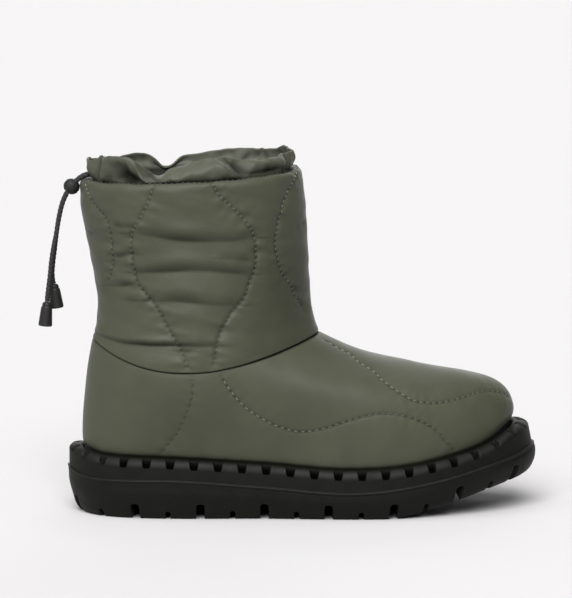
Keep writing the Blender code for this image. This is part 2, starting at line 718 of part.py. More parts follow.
def main():
    """Builds the boot under one empty that puts the middle of its footprint at the origin."""
    for old in list(bpy.data.objects):
        bpy.data.objects.remove(old)
    stations = plan_stations(LOOP)
    edge = np.vstack(outsole_rings(stations)) * [1.0, 1.0, 0.0]
    boot = bpy.data.objects.new("boot", None)
    bpy.context.scene.collection.objects.link(boot)
    boot.location = Vector(-(edge.max(axis=0) + edge.min(axis=0)) / 2) * MM
    build_sole(stations, boot)
    build_welt(boot)
    build_upper(stations, boot)
    build_shaft(stations, boot)
    build_collar(boot)
    build_lock(boot)
    for name, points in CORD_ROUTES.items():
        build_cord(name, points, boot)
        build_cord_end(name.replace("drawcord", "cord_end"), points, boot)


main()
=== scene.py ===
"""Dresses the quilted snow boot, a right one: padded nylon foot and shaft, gathered collar, lugged
rubber sole, and a drawcord with its lock.

Sizes are in millimetres in the boot's own frame: the toe points to +X, the outer side of the foot to
-Y, and the floor is z = 0. Meshes are made in metres, with the middle of the footprint at the origin.
"""

import logging
import math
from dataclasses import dataclass, field, replace
from enum import Enum
from typing import Any, Sequence

import bmesh
import bpy
import numpy as np
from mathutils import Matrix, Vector
from numpy.typing import NDArray


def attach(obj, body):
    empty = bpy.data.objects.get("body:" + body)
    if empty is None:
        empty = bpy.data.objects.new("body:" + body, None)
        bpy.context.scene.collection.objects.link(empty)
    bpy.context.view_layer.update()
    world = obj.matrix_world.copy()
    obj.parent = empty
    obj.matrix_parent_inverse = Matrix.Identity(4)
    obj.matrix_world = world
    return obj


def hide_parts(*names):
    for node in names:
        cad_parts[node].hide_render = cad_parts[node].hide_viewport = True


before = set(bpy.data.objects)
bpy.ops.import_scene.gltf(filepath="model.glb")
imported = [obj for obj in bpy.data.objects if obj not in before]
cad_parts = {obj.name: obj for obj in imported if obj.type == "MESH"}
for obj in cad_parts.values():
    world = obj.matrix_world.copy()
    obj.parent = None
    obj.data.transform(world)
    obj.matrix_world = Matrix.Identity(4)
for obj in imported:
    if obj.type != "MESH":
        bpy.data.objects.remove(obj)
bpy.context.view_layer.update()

MM = 0.001
GAP = 0.3  # clearance between pieces that meet
TOUCH = 0.02  # clearance between faces that lie flush
TAU = 2 * math.pi
PAIRS_AT_ONCE = 6_000_000  # pairs of points that are measured together
LOG = logging.getLogger("snow_boot")
Array = NDArray[np.float64]
Rows = Sequence[Sequence[float]]
Three = tuple[float, float, float]
Socket = bpy.types.NodeSocket
Tree = bpy.types.NodeTree


class Side(Enum):
    """The two sides of the foot, as the sign of y."""

    INNER = 1.0
    OUTER = -1.0


class Slot(Enum):
    """The record's material slots."""

    NYLON = "nylon"
    COLLAR = "collar_nylon"
    RUBBER = "rubber"
    FELT = "felt"
    CORD = "cord"
    PLASTIC = "plastic"


# Plan of the upper's lower edge, toe tip first and the inner side next: x, y, how far the sole stands
# out, share of the climb before the wall turns in, share of the instep kept, its fall, its swell
PLAN = (
    (127.6, 6, 12.8, 0.8, 0.5, 35, 1.8),
    (108, 35, 10, 0.78, 0.48, 30, 1.5),
    (52, 47, 6.5, 0.6, 0.44, 18, 1.5),
    (-25, 37.5, 6, 0.42, 0.3, 16, 3),
    (-92, 35, 6.5, 0.36, 0.2, 20, 3),
    (-122, 22, 7.5, 0.36, 0.28, 20, 1.5),
    (-131.6, 0, 8.8, 0.36, 0.5, 20, 0.3),
    (-122, -22, 7.5, 0.36, 0.28, 20, 1.5),
    (-92, -35.5, 6.5, 0.36, 0.2, 20, 3),
    (-25, -41.5, 6, 0.42, 0.3, 16, 3),
    (36, -47, 6.5, 0.6, 0.44, 18, 1.5),
    (99, -31, 9.5, 0.78, 0.48, 30, 1.5),
)
HEEL_KNOT = 6  # the plan's row at the back of the heel

# Heights along the boot: x, tread, line between outsole and midsole, welt top
SOLE_LINES = (
    (-141, 2, 28.4, 42.6),
    (-134, 1.1, 25.2, 40.2),
    (-120, 0, 23.9, 37),
    (-85, 0, 24.4, 36.2),
    (-28, 0.6, 20.9, 33.2),
    (24, 0, 17.2, 29.6),
    (44, 0, 18.2, 29.9),
    (80, 6.4, 23.7, 34.4),
    (110, 14.8, 30.5, 41.8),
    (127, 18.6, 34.5, 50.2),
    (141, 21, 38.8, 54.6),
)
TREAD, PARTING, WELT_TOP = 1, 2, 3

# Shaft sections: share of the height, back, front, half width, power of the front half's curve
SHAFT_SECTIONS = (
    (0, -125.3, 10, 47.5, 1.85),
    (0.05, -123.5, 7.8, 48.2, 1.87),
    (0.13, -122.2, 5.7, 47.4, 1.92),
    (0.24, -121.9, 4.6, 46.2, 2),
    (0.42, -124.6, 3.6, 46.4, 2.12),
    (0.63, -128.3, 2.5, 48, 2.2),
    (0.83, -131.4, 1.7, 49.8, 2.2),
    (0.955, -132.1, 0.5, 49.6, 2.2),
)


def ease(low: float, high: float, value: Array) -> Array:
    """A smooth step from 0 at low to 1 at high: 3t^2 - 2t^3 of the share t of the way."""
    share = np.clip((value - low) / (high - low), 0.0, 1.0)
    return share * share * (3 - 2 * share)


def once_round(count: int) -> Array:
    """Count even angles from 0, once round."""
    return np.linspace(0.0, TAU, count, endpoint=False)


def hump(distance: Array, width: float) -> Array:
    """A bell of height 1 at no distance, e to the minus square of distance over width."""
    return np.exp(-((distance / width) ** 2))


def ripple(points: Array, wavelength: float, seed: int, waves: int = 7) -> Array:
    """Smooth wandering of about -1 to 1: a sum of sine waves in seeded directions.

    Args:
        points: Places, with three coordinates last.
        wavelength: The waves' mean length.
        seed: Picks the directions, lengths and phases.
        waves: How many waves are summed.

    Returns:
        One value per place.
    """
    rng = np.random.default_rng(seed)
    ways = rng.normal(size=(waves, 3))
    ways /= np.linalg.norm(ways, axis=1)[:, None]
    ways *= (TAU / (wavelength * rng.uniform(0.7, 1.4, waves)))[:, None]
    phases = rng.uniform(0.0, TAU, waves)
    return np.sin(points @ ways.T + phases).sum(axis=-1) / math.sqrt(waves)


def closed_spline(knots: Array, period: float, values: Array, at: Array) -> Array:
    """The closed cubic spline through values at knots, from its solved second derivatives.

    Args:
        knots: Rising parameters of the values.
        period: The parameter's length once round.
        values: The values at the knots.
        at: The parameters read.

    Returns:
        The spline at each parameter.
    """
    count = len(knots)
    spans = np.diff(np.append(knots, knots[0] + period))
    rises = (np.roll(values, -1) - values) / spans
    index = np.arange(count)
    system = np.zeros((count, count))
    system[index, index - 1] += np.roll(spans, 1)
    system[index, index] += 2 * (np.roll(spans, 1) + spans)
    system[index, (index + 1) % count] += spans
    bend = np.linalg.solve(system, 6 * (rises - np.roll(rises, 1)))
    turned = knots[0] + np.mod(at - knots[0], period)
    i = np.clip(np.searchsorted(knots, turned, side="right") - 1, 0, count - 1)
    j = (i + 1) % count
    right = (turned - knots[i]) / spans[i]
    left = 1 - right
    curve = ((left**3 - left) * bend[i] + (right**3 - right) * bend[j]) * spans[i] ** 2 / 6
    return left * values[i] + right * values[j] + curve


def cubic(t: Array, span: Array, start: Array, leaving: Array, end: Array, arriving: Array) -> Array:
    """The cubic span with the values and slopes given at its two ends, a share t of the way along."""
    first = (1 + 2 * t) * (1 - t) ** 2 * start + t * (1 - t) ** 2 * span * leaving
    return first + (t * t * (3 - 2 * t) * end - t * t * (1 - t) * span * arriving)


def smooth_line(xs: Array, ys: Array, at: Array) -> Array:
    """A cubic line through points whose slopes are held so that it never swings past them.

    Args:
        xs: Rising places of the points.
        ys: Their heights.
        at: Where the line is read.

    Returns:
        The line's height at each place.
    """
    spans = np.diff(xs)
    rises = np.diff(ys) / spans
    slopes = np.concatenate([[rises[0]], (rises[:-1] + rises[1:]) / 2, [rises[-1]]])
    flat = np.concatenate([[False], rises[:-1] * rises[1:] <= 0, [False]])
    steepest = 3 * np.minimum(np.append(abs(rises), np.inf), np.append(np.inf, abs(rises)))
    slopes = np.where(flat, 0.0, np.sign(slopes) * np.minimum(abs(slopes), steepest))
    at = np.clip(at, xs[0], xs[-1])
    i = np.clip(np.searchsorted(xs, at, side="right") - 1, 0, len(spans) - 1)
    return cubic((at - xs[i]) / spans[i], spans[i], ys[i], slopes[i], ys[i + 1], slopes[i + 1])


def thread_through(points: Rows | Array, step: float) -> Array:
    """Even points on the smooth curve through a route: cubic spans with mean slopes at its points.

    Args:
        points: The route, one row per point.
        step: About how far apart the curve's points are.

    Returns:
        The curve's points.
    """
    route = np.asarray(points, float)
    chords = arc_lengths(route)
    at = np.linspace(0.0, chords[-1], max(int(chords[-1] / step), 1) + 1)
    slopes = np.gradient(route, chords, axis=0)
    i = np.clip(np.searchsorted(chords, at, side="right") - 1, 0, len(chords) - 2)
    span = (chords[i + 1] - chords[i])[:, None]
    t = (at - chords[i])[:, None] / span
    return cubic(t, span, route[i], slopes[i], route[i + 1], slopes[i + 1])


def arc_lengths(points: Array) -> Array:
    """Distance along a path at each of its points, the running sum of its steps."""
    return np.concatenate([[0.0], np.cumsum(np.linalg.norm(np.diff(points, axis=0), axis=1))])


def unit(vectors: Array) -> Array:
    """The vectors brought to length 1."""
    return vectors / np.maximum(np.linalg.norm(vectors, axis=-1, keepdims=True), 1e-12)


def grid_normals(points: Array) -> Array:
    """Outward unit normals of a grid whose columns close: the way along a row crossed with the way up."""
    along = np.roll(points, -1, axis=1) - np.roll(points, 1, axis=1)
    return unit(np.cross(along, np.gradient(points, axis=0)))


def nearest_on(points: Array, path: Array) -> tuple[Array, Array]:
    """The nearest point of a path to each place, from all the pairs' squared distances in turn.

    Args:
        points: Places, with three coordinates last.
        path: The path's points, one row each.

    Returns:
        The distance of each place, and the index of its nearest path point.
    """
    flat = points.reshape(-1, 3)
    index = np.empty(len(flat), int)
    square = (path**2).sum(axis=1)
    for part in np.array_split(np.arange(len(flat)), 1 + len(flat) * len(path) // PAIRS_AT_ONCE):
        gaps = square - 2 * flat[part] @ path.T
        index[part] = gaps.argmin(axis=1)
    near = np.linalg.norm(flat - path[index], axis=1)
    return near.reshape(points.shape[:-1]), index.reshape(points.shape[:-1])


@dataclass
class Stations:
    """Columns of the plan at points round the boot, with the outward way at each.

    Attributes:
        columns: The plan's seven columns, one row each.
        outward: Unit plan vectors pointing out of the boot, one row each.
    """

    columns: Array
    outward: Array

    @property
    def reach(self) -> Array:
        """How far the sole stands out past the upper."""
        return self.columns[2]

    def edge(self, offset: Array | float) -> Array:
        """Plan points the given distance outside the upper's lower edge, one row each."""
        offsets = np.broadcast_to(offset, self.columns.shape[1:])
        return self.columns[:2].T + offsets[:, None] * self.outward


@dataclass
class BootForm:
    """The boot's main form, shared by every piece: plan, sole lines, ankle seam and shaft sections.

    Attributes:
        seam_wave: Ankle seam height: mean, and its once, twice and three times round swings.
        rim_wave: Shaft rim height, in the same way.
        section_power: Power of the back half's curve: 2 is an ellipse, and more is squarer.
        seam_half: Half width of the plan that the angles round the seam are read on.
        origin: Millimetres that bring the middle of the footprint to the origin.
    """

    seam_wave: tuple[float, ...] = (97.2, 2.9, 8.2, -1.4)
    rim_wave: tuple[float, ...] = (202.3, 3.1, 0.5, 0.0)
    section_power: float = 2.2
    seam_half: float = 47.0
    origin: Array = field(init=False)

    def __post_init__(self) -> None:
        """Finds the plan's knots and the middle of the footprint, from points round the outsole."""
        plan = np.array(PLAN, float)
        steps = np.linalg.norm(np.roll(plan[:, :2], -1, axis=0) - plan[:, :2], axis=1)
        self.plan, self.period = plan, steps.sum()
        self.knots = np.concatenate([[0.0], np.cumsum(steps)[:-1]])
        self.heel = self.knots[HEEL_KNOT]
        sole, coarse = Sole(), self.stations(self.even(64))
        rows = sole.side_offsets(coarse, np.array(sole.side)[:, 0])
        edge = np.concatenate([coarse.edge(row) for row in rows])
        self.origin = np.append(-(edge.max(axis=0) + edge.min(axis=0)) / 2, 0.0)

    def even(self, count: int) -> Array:
        """Count plan parameters, half of them spread over each side of the foot."""
        half = count // 2
        inner = np.linspace(0.0, self.heel, half, endpoint=False)
        return np.concatenate([inner, np.linspace(self.heel, self.period, half, endpoint=False)])

    def columns(self, at: Array) -> Array:
        """The plan's columns at the parameters given, each a closed spline through the table."""
        return np.array([closed_spline(self.knots, self.period, column, at) for column in self.plan.T])

    def stations(self, at: Array) -> Stations:
        """The plan's columns, with the outward way square to the step between two near points.

        Args:
            at: Parameters, the distance along the plan's chords from the toe tip.

        Returns:
            The stations.
        """
        step = 1e-3 * self.period
        along = self.columns(at + step)[:2] - self.columns(at - step)[:2]
        return Stations(self.columns(at), unit(np.column_stack([along[1], -along[0]])))

    def sole_line(self, column: int, x: Array) -> Array:
        """Height of one of the sole's lines at the distances along the boot given."""
        lines = np.array(SOLE_LINES)
        return smooth_line(lines[:, 0], lines[:, column], x)

    def wave(self, swings: Sequence[float], angles: Array) -> Array:
        """A height round the shaft: a mean and cosines of once, twice and three times the angle."""
        return sum(swing * np.cos(turns * angles) for turns, swing in enumerate(swings))

    def seam_angles(self, stations: Stations) -> Array:
        """The angle on the ankle seam that each point of the plan is drawn up to."""
        x, y = stations.columns[:2]
        middle = (SHAFT_SECTIONS[0][1] + SHAFT_SECTIONS[0][2]) / 2
        reach = np.where(x > middle, self.plan[:, 0].max() - middle, middle - self.plan[:, 0].min())
        return np.arctan2(y / self.seam_half, (x - middle) / reach)

    def shaft_points(self, angles: Array, level: Array, inset: Array) -> Array:
        """Points of the shaft: a rounded section at a share of the height, moved in by the inset.

        Args:
            angles: Angles from the front through the inner side.
            level: Shares of the height, on the angles' shape or broadcast to it.
            inset: Distances in from the outer face.

        Returns:
            The points, with three coordinates last.
        """
        rows = np.array(SHAFT_SECTIONS).T
        back, front, half, pointed = (smooth_line(rows[0], rows[i], level) for i in (1, 2, 3, 4))
        cos, sin = np.cos(angles), np.sin(angles)
        power = 2 / np.where(cos > 0.0, pointed, self.section_power)
        x = (front + back) / 2 + ((front - back) / 2 - inset) * np.sign(cos) * abs(cos) ** power
        y = (half - inset) * np.sign(sin) * abs(sin) ** power
        seam = self.wave(self.seam_wave, angles)
        z = seam + level * (self.wave(self.rim_wave, angles) - seam)
        return np.stack(np.broadcast_arrays(x, y, z), axis=-1)


# Stitch lines of the quilting as seen on the outer side: (x, z) on the wall, or (x, y, z) over the top
SHAFT_LINES: dict[str, Rows] = {
    "back": (
        (-128.4, 198.5), (-124.7, 186), (-118.4, 178.4), (-115.5, 164.8), (-114.9, 149.5),
        (-117.2, 141.1),
    ),
    "heel_wave": (
        (-88.7, 199.3), (-92.9, 191.9), (-98.1, 181.1), (-103.4, 171.2), (-103.9, 162.1),
        (-102.2, 149.5), (-100.5, 142.3), (-93.8, 133.7), (-88.3, 126.7), (-82.5, 116.2),
        (-77.3, 108.1), (-73.2, 99.3), (-70.9, 92.8),
    ),
    "front_wave": (
        (-57.1, 200.1), (-50.7, 193.7), (-43.6, 187.3), (-35.9, 178.4), (-30.4, 169.7), (-29.2, 160.1),
        (-30.1, 150.6), (-33.4, 141.2), (-37, 132.5), (-44.8, 123.2), (-49.8, 115.1), (-53.2, 105.7),
        (-54.2, 94.5),
    ),
    "front": (
        (-5.6, 203.9), (-8.9, 195.2), (-13.4, 184.5), (-16.5, 172.9), (-17.7, 164.7), (-16.4, 156.8),
        (-13.3, 146.9), (-7.7, 137.9), (-4.3, 129.7), (-0.1, 124.2),
    ),
}
FOOT_LINES: dict[str, Rows] = {
    "heel": ((-67.4, 86.7), (-68.5, 72.9), (-71.4, 64.3), (-76.7, 52.4), (-83.7, 42.9), (-86, 38.5)),
    "side_wave": (
        (-50.5, 86.6), (-45.5, 78.8), (-41.4, 73.2), (-29.8, 63.1), (-15.5, 55.7), (-5.2, 53),
        (7.2, 54.2), (17.5, 57.2), (30.9, 61.2), (41, 63.1), (49.4, 63.1), (57.8, 61.7), (68.1, 57.9),
        (77.2, 52.5), (82.8, 46.1), (87.8, 40.3),
    ),
    "vamp_wave": (
        (13.1, -11, 102.7), (19.9, -13, 99.3), (25, -14, 96.9), (32.8, -21, 92.1), (40.8, -26, 87.7),
        (46.2, -33, 82.8), (51.9, -37, 78.5), (58.2, -39, 74), (64.1, -40, 71), (72.7, -38, 68.9),
        (80, -35, 68.4), (87.5, -32, 69.2), (96.4, -26, 70.4), (104.9, -19, 71.9), (112.1, -13, 71.4),
        (118.2, -7, 68.8), (122.2, -3, 65.9), (124.4, 3.5, 63.6),
    ),
}


@dataclass(frozen=True)
class Crease:
    """A fold across the fabric: a padded roll turns in to its line, and the panel below comes out again.

    Attributes:
        points: Its line as (x, z) on the outer side.
        depth: How deep it is in its middle.
        above: How far the roll takes to turn in.
        below: How far the panel below takes to come out.
        roll: How far the roll stands out.
        shadow: How dark its line is.
    """

    points: Rows
    depth: float
    above: float
    below: float
    roll: float
    shadow: float = 0.3


SHAFT_CREASES = (
    Crease(
        ((-102.2, 171.3), (-92.3, 170.5), (-80.7, 168.3), (-63.1, 167.1), (-42.4, 167.3), (-31.6, 168.6)),
        2, 3, 5, 1.3, 0.38,
    ),
    Crease(
        ((-101, 147.8), (-84, 148.8), (-63.1, 149.7), (-48, 148.4), (-35.2, 146.7)),
        2, 2.8, 4.5, 1.2, 0.38,
    ),
    Crease(((-48.3, 157.3), (-39, 156), (-30.4, 154.2)), 0.9, 2, 3, 0.6),
    Crease(((-89.4, 131.5), (-74.8, 131.2), (-54.2, 129.3), (-41.8, 128.5)), 1.7, 3.2, 4.5, 1.1),
    Crease(((-114.3, 175.8), (-108, 175), (-103.4, 175.4)), 0.9, 2.2, 2.6, 0.6),
    Crease(((-115.5, 156.2), (-109, 157.2), (-102.2, 159.2)), 1.2, 1.8, 2.6, 0.7),
    Crease(((-117.8, 137.9), (-110, 138.9), (-101, 141.1)), 1.4, 2, 2.8, 0.8),
    Crease(((-128, 169.6), (-125, 168.8), (-122.4, 168.7)), 0.9, 1.8, 2.4, 0.5),
    Crease(((-107, 131), (-98, 130.6), (-90, 131.3)), 0.6, 2, 2.4, 0.4),
    Crease(
        ((-123, 107.7), (-111.9, 105.7), (-94.8, 105.1), (-79, 105.3), (-52.6, 105.3)),
        1.9, 1.3, 7, 0.6, 0.75,
    ),
    Crease(((-80, 102.4), (-72, 101.6), (-66, 101.8)), 0.6, 1, 1.8, 0.3),
    Crease(((-5, 172.5), (0.5, 174.5)), 0.8, 1.8, 2.4, 0.5),
)


@dataclass(frozen=True)
class LineLook:
    """How a stitch line shows.

    Attributes:
        thread: How light its thread is, from 0 to 1.
        shade: How much painted shade it has between the stitches, from 0 to 1.
        fade: Length over which the thread darkens from the line's start.
    """

    thread: float = 0.3
    shade: float = 0.6
    fade: float = 60.0


LINE_LOOKS: dict[str, LineLook] = {
    "back": LineLook(0.9, 0.45, 16),
    "heel_wave": LineLook(0.4, 0.68),
    "front_wave": LineLook(0.4, 0.85),
    "front": LineLook(0.95, 0.6, 32),
    "heel": LineLook(0.12, 0.5),
    "side_wave": LineLook(0.65, 1, 62),
    "vamp_wave": LineLook(0.98, 1, 66),
}


@dataclass
class Trace:
    """A line laid on a grid surface.

    Attributes:
        rows: Grid rows it passes, as fractions.
        columns: Grid columns it passes, as fractions.
        points: The line's points.
        look: How it shows.
    """

    rows: Array
    columns: Array
    points: Array
    look: LineLook = LineLook()


def read_grid(grid: Array, rows: Array, columns: Array) -> Array:
    """The grid between its points, by mixing the four corners round each place.

    Args:
        grid: Rows by columns by anything, with closed columns.
        rows: Fractional rows.
        columns: Fractional columns.

    Returns:
        One mixed value per place.
    """
    rows = np.clip(rows, 0, len(grid) - 1.001)
    k, i = np.floor(rows).astype(int), np.floor(columns).astype(int)
    s, t = (rows - k)[:, None], (columns - i)[:, None]
    i, j = i % grid.shape[1], (i + 1) % grid.shape[1]
    low = grid[k, i] * (1 - t) + grid[k, j] * t
    return low * (1 - s) + (grid[k + 1, i] * (1 - t) + grid[k + 1, j] * t) * s


LINE_STEP = 0.5  # distance between a stitch line's points
NEAR_SQUARE = 1.5  # squared distance over which a grid place counts as near a route's point
TOE_SWING = 12.0  # twice how far the middle of the toe lies to the inner side


def lay_line(grid: Array, route: Rows, side: Side, step: float) -> Trace:
    """Lays a line on a grid: each route point goes to the closeness-weighted mean of the grid places
    near it, and a smooth curve joins them.

    Args:
        grid: The surface, with the inner side in its first half of columns.
        route: (x, z) or (x, y, z) points, drawn on the outer side.
        side: The side it is laid on; the inner side takes the mirrored line.
        step: Distance between its points.

    Returns:
        The line.
    """
    targets, half = np.array(route, float), grid.shape[1] // 2
    axes = [0, 2] if targets.shape[1] == 2 else [0, 1, 2]
    if len(axes) == 3 and side is Side.INNER:
        targets[:, 1] = TOE_SWING * ease(40.0, 130.0, targets[:, 0]) - targets[:, 1]
    first = 0 if side is Side.INNER else half
    part = grid[:, first : first + half][..., axes]
    gaps = ((part[None] - targets[:, None, None]) ** 2).sum(axis=-1)
    closeness = np.exp(-(gaps - gaps.min(axis=(1, 2), keepdims=True)) / NEAR_SQUARE)
    closeness /= closeness.sum(axis=(1, 2), keepdims=True)
    rows = (closeness.sum(axis=2) * np.arange(len(grid))).sum(axis=1)
    columns = first + (closeness.sum(axis=1) * np.arange(half)).sum(axis=1)
    coarse = thread_through(np.column_stack([rows, columns]), 0.7)
    points = read_grid(grid, coarse[:, 0], coarse[:, 1])
    lengths = arc_lengths(points)
    even = np.linspace(0.0, lengths[-1], max(int(lengths[-1] / step), 2) + 1)
    rows, columns = (np.interp(even, lengths, coarse[:, i]) for i in (0, 1))
    return Trace(rows, columns, read_grid(grid, rows, columns))


def lay_lines(grid: Array, lines: dict[str, Rows]) -> tuple[list[Trace], Array, Array, Array]:
    """Lays every stitch line on both sides of a grid and measures the grid from them.

    Args:
        grid: The surface.
        lines: The lines by name.

    Returns:
        The laid lines, and for each grid point its distance to the nearest, how far along that it is
        and how much painted shade that line has there.
    """
    traces = [
        replace(lay_line(grid, route, side, LINE_STEP), look=LINE_LOOKS[name])
        for name, route in lines.items()
        for side in Side
    ]
    along = np.concatenate([arc_lengths(trace.points) for trace in traces])
    shade = np.concatenate([np.full(len(trace.points), trace.look.shade) for trace in traces])
    shade = shade * (0.75 + 0.25 * np.sin(along / 9.0 + 2.0 * np.sin(along / 23.0)))
    near, index = nearest_on(grid, np.concatenate([trace.points for trace in traces]))
    return traces, near, along[index], shade[index]


HOLE_SHARE = 0.15  # a needle hole's width as a share of the pitch


def needle_holes(along: Array, pitch: float) -> Array:
    """1 at each needle hole, half way between two stitches, falling as a bell to 0 on the threads."""
    return hump(np.mod(along, pitch) - pitch / 2, HOLE_SHARE * pitch)


@dataclass(frozen=True)
class QuiltRelief:
    """How the padding is drawn in along its stitch lines.

    Attributes:
        groove: Depth of the narrow groove that the thread pulls.
        groove_width: Its half width.
        pillow: Depth of the broad hollow beside the line.
        pillow_reach: How far the hollow reaches.
        pucker: Height of the small gathers along the line.
        pucker_pitch: Their spacing.
        crown: How far the middle of a panel stands up.
        stitch: Spacing of the stitches.
    """

    groove: float
    groove_width: float
    pillow: float
    pillow_reach: float
    pucker: float
    pucker_pitch: float
    crown: float
    stitch: float

    def height(self, near: Array, along: Array) -> Array:
        """Relief beside the nearest line: a bell-shaped groove, a hollow that fades with distance,
        gathers as a sine along the line, and the crown between.

        Args:
            near: Distance to the nearest line.
            along: Distance along that line.

        Returns:
            The relief, outwards positive.
        """
        deep = self.groove * (0.7 + 0.6 * needle_holes(along, self.stitch))
        drawn = deep * hump(near, self.groove_width) + self.pillow * np.exp(-near / self.pillow_reach)
        beat = np.sin(TAU * along / self.pucker_pitch + 1.7 * np.sin(along / 11.0))
        beat += 0.6 * np.sin(along / 1.9)
        fade = np.exp(-near / 4.5) * (1 - 0.8 * hump(near, self.groove_width))
        return self.crown - drawn + self.pucker * fade * beat

    def shade(self, near: Array, along: Array) -> Array:
        """The line's painted shade: a faint band with a dark dot at each needle hole."""
        return hump(near, 0.8) * (0.06 + 0.94 * needle_holes(along, self.stitch))


def crease_relief(points: Array, path: Array, crease: Crease) -> tuple[Array, Array]:
    """Relief of one crease: an exponential of the distance on either side, with a bell above for the
    roll, fading to its two ends as the root of a half sine.

    Args:
        points: Places on the surface.
        path: The crease's points.
        crease: Its sizes.

    Returns:
        The relief, outwards positive, and the painted shade of the fold.
    """
    near, index = nearest_on(points, path)
    share = np.clip(index / (len(path) - 1), 0.0, 1.0)
    fade = np.sqrt(np.sin(math.pi * (0.04 + 0.92 * share))) * (1 + 0.25 * np.sin(share * 9.0 + path[0, 0]))
    rise = points[..., 2] - path[index, 2]
    across = np.hypot(near, 0.5) - 0.5
    trough = crease.depth * np.exp(-across / np.where(rise > 0.0, crease.above, crease.below))
    roll = crease.roll * hump(np.sign(rise) * near - 2.0 * crease.above, 1.5 * crease.above)
    # painted shade along the fold's line, reaching further up under the roll
    dark = crease.shadow * np.exp(-across / np.where(rise > 0.0, 0.8 * crease.above, 0.5))
    return fade * (roll - trough), fade * dark


def grid_corners(rows: int, columns: int, wrap_rows: bool, wrap_columns: bool) -> NDArray[np.int64]:
    """Corner indices of a grid's quads, turned so that faces point out of a column that rises.

    Args:
        rows: Number of rows.
        columns: Number of columns.
        wrap_rows: Whether the last row joins the first.
        wrap_columns: Whether the last column joins the first.

    Returns:
        Four point indices per face.
    """
    up = np.arange(rows if wrap_rows else rows - 1)
    along = np.arange(columns if wrap_columns else columns - 1)
    k, i = np.meshgrid(up, along, indexing="ij")
    above, ahead = (k + 1) % rows, (i + 1) % columns
    corners = (k * columns + i, k * columns + ahead, above * columns + ahead, above * columns + i)
    return np.stack(corners, axis=-1).reshape(-1, 4)


@dataclass
class Surface:
    """A grid of points that becomes one mesh, or many equal grids joined into one.

    Attributes:
        points: Millimetres, rows by columns by three, with any number of grids in front.
        wrap_rows: Whether the last row joins the first.
        wrap_columns: Whether the last column joins the first.
        values: Named values per point, carried as attributes for the finish.
        row_finish: Index of the finish of each row of faces.
        merge: Whether points in one place are joined, as at a pole.
    """

    points: Array
    wrap_rows: bool = False
    wrap_columns: bool = True
    values: dict[str, Array] = field(default_factory=dict)
    row_finish: Array | None = None
    merge: bool = False

    def mesh(self, name: str, origin: Array) -> bpy.types.Mesh:
        """Puts the grid into a mesh with its UV map, running from 0 to 1 along rows and columns.

        Args:
            name: The mesh's name.
            origin: Millimetres added to every point.

        Returns:
            The mesh, shaded smooth.
        """
        rows, columns = self.points.shape[-3:-1]
        copies = int(np.prod(self.points.shape[:-3]))
        corners = grid_corners(rows, columns, self.wrap_rows, self.wrap_columns)
        k, i = np.divmod(corners, columns)
        corner = np.arange(4)
        k = np.where((k == 0) & (k[:, 2:3] == 0) & (corner >= 2), rows, k)
        i = np.where((i == 0) & (i[:, 1:2] == 0) & ((corner == 1) | (corner == 2)), columns, i)
        uv = np.stack([i / columns, k / rows], axis=-1)
        faces = (corners[None] + (np.arange(copies) * rows * columns)[:, None, None]).reshape(-1, 4)
        mesh = bpy.data.meshes.new(name)
        mesh.vertices.add(copies * rows * columns)
        mesh.vertices.foreach_set("co", ((self.points.reshape(-1, 3) + origin) * MM).ravel())
        mesh.loops.add(faces.size)
        mesh.loops.foreach_set("vertex_index", faces.ravel())
        mesh.polygons.add(len(faces))
        mesh.polygons.foreach_set("loop_start", np.arange(0, faces.size, 4))
        uvs = np.tile(uv.reshape(-1, 2), (copies, 1))
        mesh.uv_layers.new(name="cut").data.foreach_set("uv", uvs.ravel())
        if self.row_finish is not None:
            per_row = len(corners) // len(self.row_finish)
            finish = np.tile(np.repeat(self.row_finish, per_row), copies)
            mesh.polygons.foreach_set("material_index", finish)
        for label, value in self.values.items():
            mesh.attributes.new(label, "FLOAT", "POINT").data.foreach_set("value", value.ravel())
        mesh.update(calc_edges=True)
        if self.merge:
            merge_points(mesh)
        mesh.shade_smooth()
        return mesh


def lined_wall(grid: Array, groove: Array, first_inner: int) -> Surface:
    """A closed wall in a ring, whose rows from the first inner one on take the second finish."""
    inner = (np.arange(len(grid)) >= first_inner).astype(int)
    return Surface(grid, wrap_rows=True, values={"groove": groove}, row_finish=inner)


def merge_points(mesh: bpy.types.Mesh, distance: float = 1e-6) -> None:
    """Joins points that share a place and drops the faces that this leaves without area."""
    bm = bmesh.new()
    bm.from_mesh(mesh)
    bmesh.ops.remove_doubles(bm, verts=bm.verts, dist=distance)
    bmesh.ops.dissolve_degenerate(bm, edges=bm.edges, dist=distance)
    bm.to_mesh(mesh)
    bm.free()


def add_piece(
    name: str,
    surface: Surface,
    form: BootForm,
    finishes: Sequence["Finish"],
    replaces: Sequence[str] = (),
) -> bpy.types.Object:
    """Makes a piece of the boot from a surface, dresses it and ties it to the boot's body.

    Args:
        name: The piece's name.
        surface: Its shape.
        form: The boot's form, for its origin.
        finishes: Finishes, in the order that the surface's rows name them.
        replaces: The solids that it stands for.

    Returns:
        The piece.
    """
    piece = bpy.data.objects.new(name, surface.mesh(name, form.origin))
    bpy.context.scene.collection.objects.link(piece)
    for finish in finishes:
        piece.data.materials.append(finish.material())
    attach(piece, "root")
    if replaces:
        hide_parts(*replaces)
    LOG.info("%s: %d faces", name, len(piece.data.polygons))
    return piece


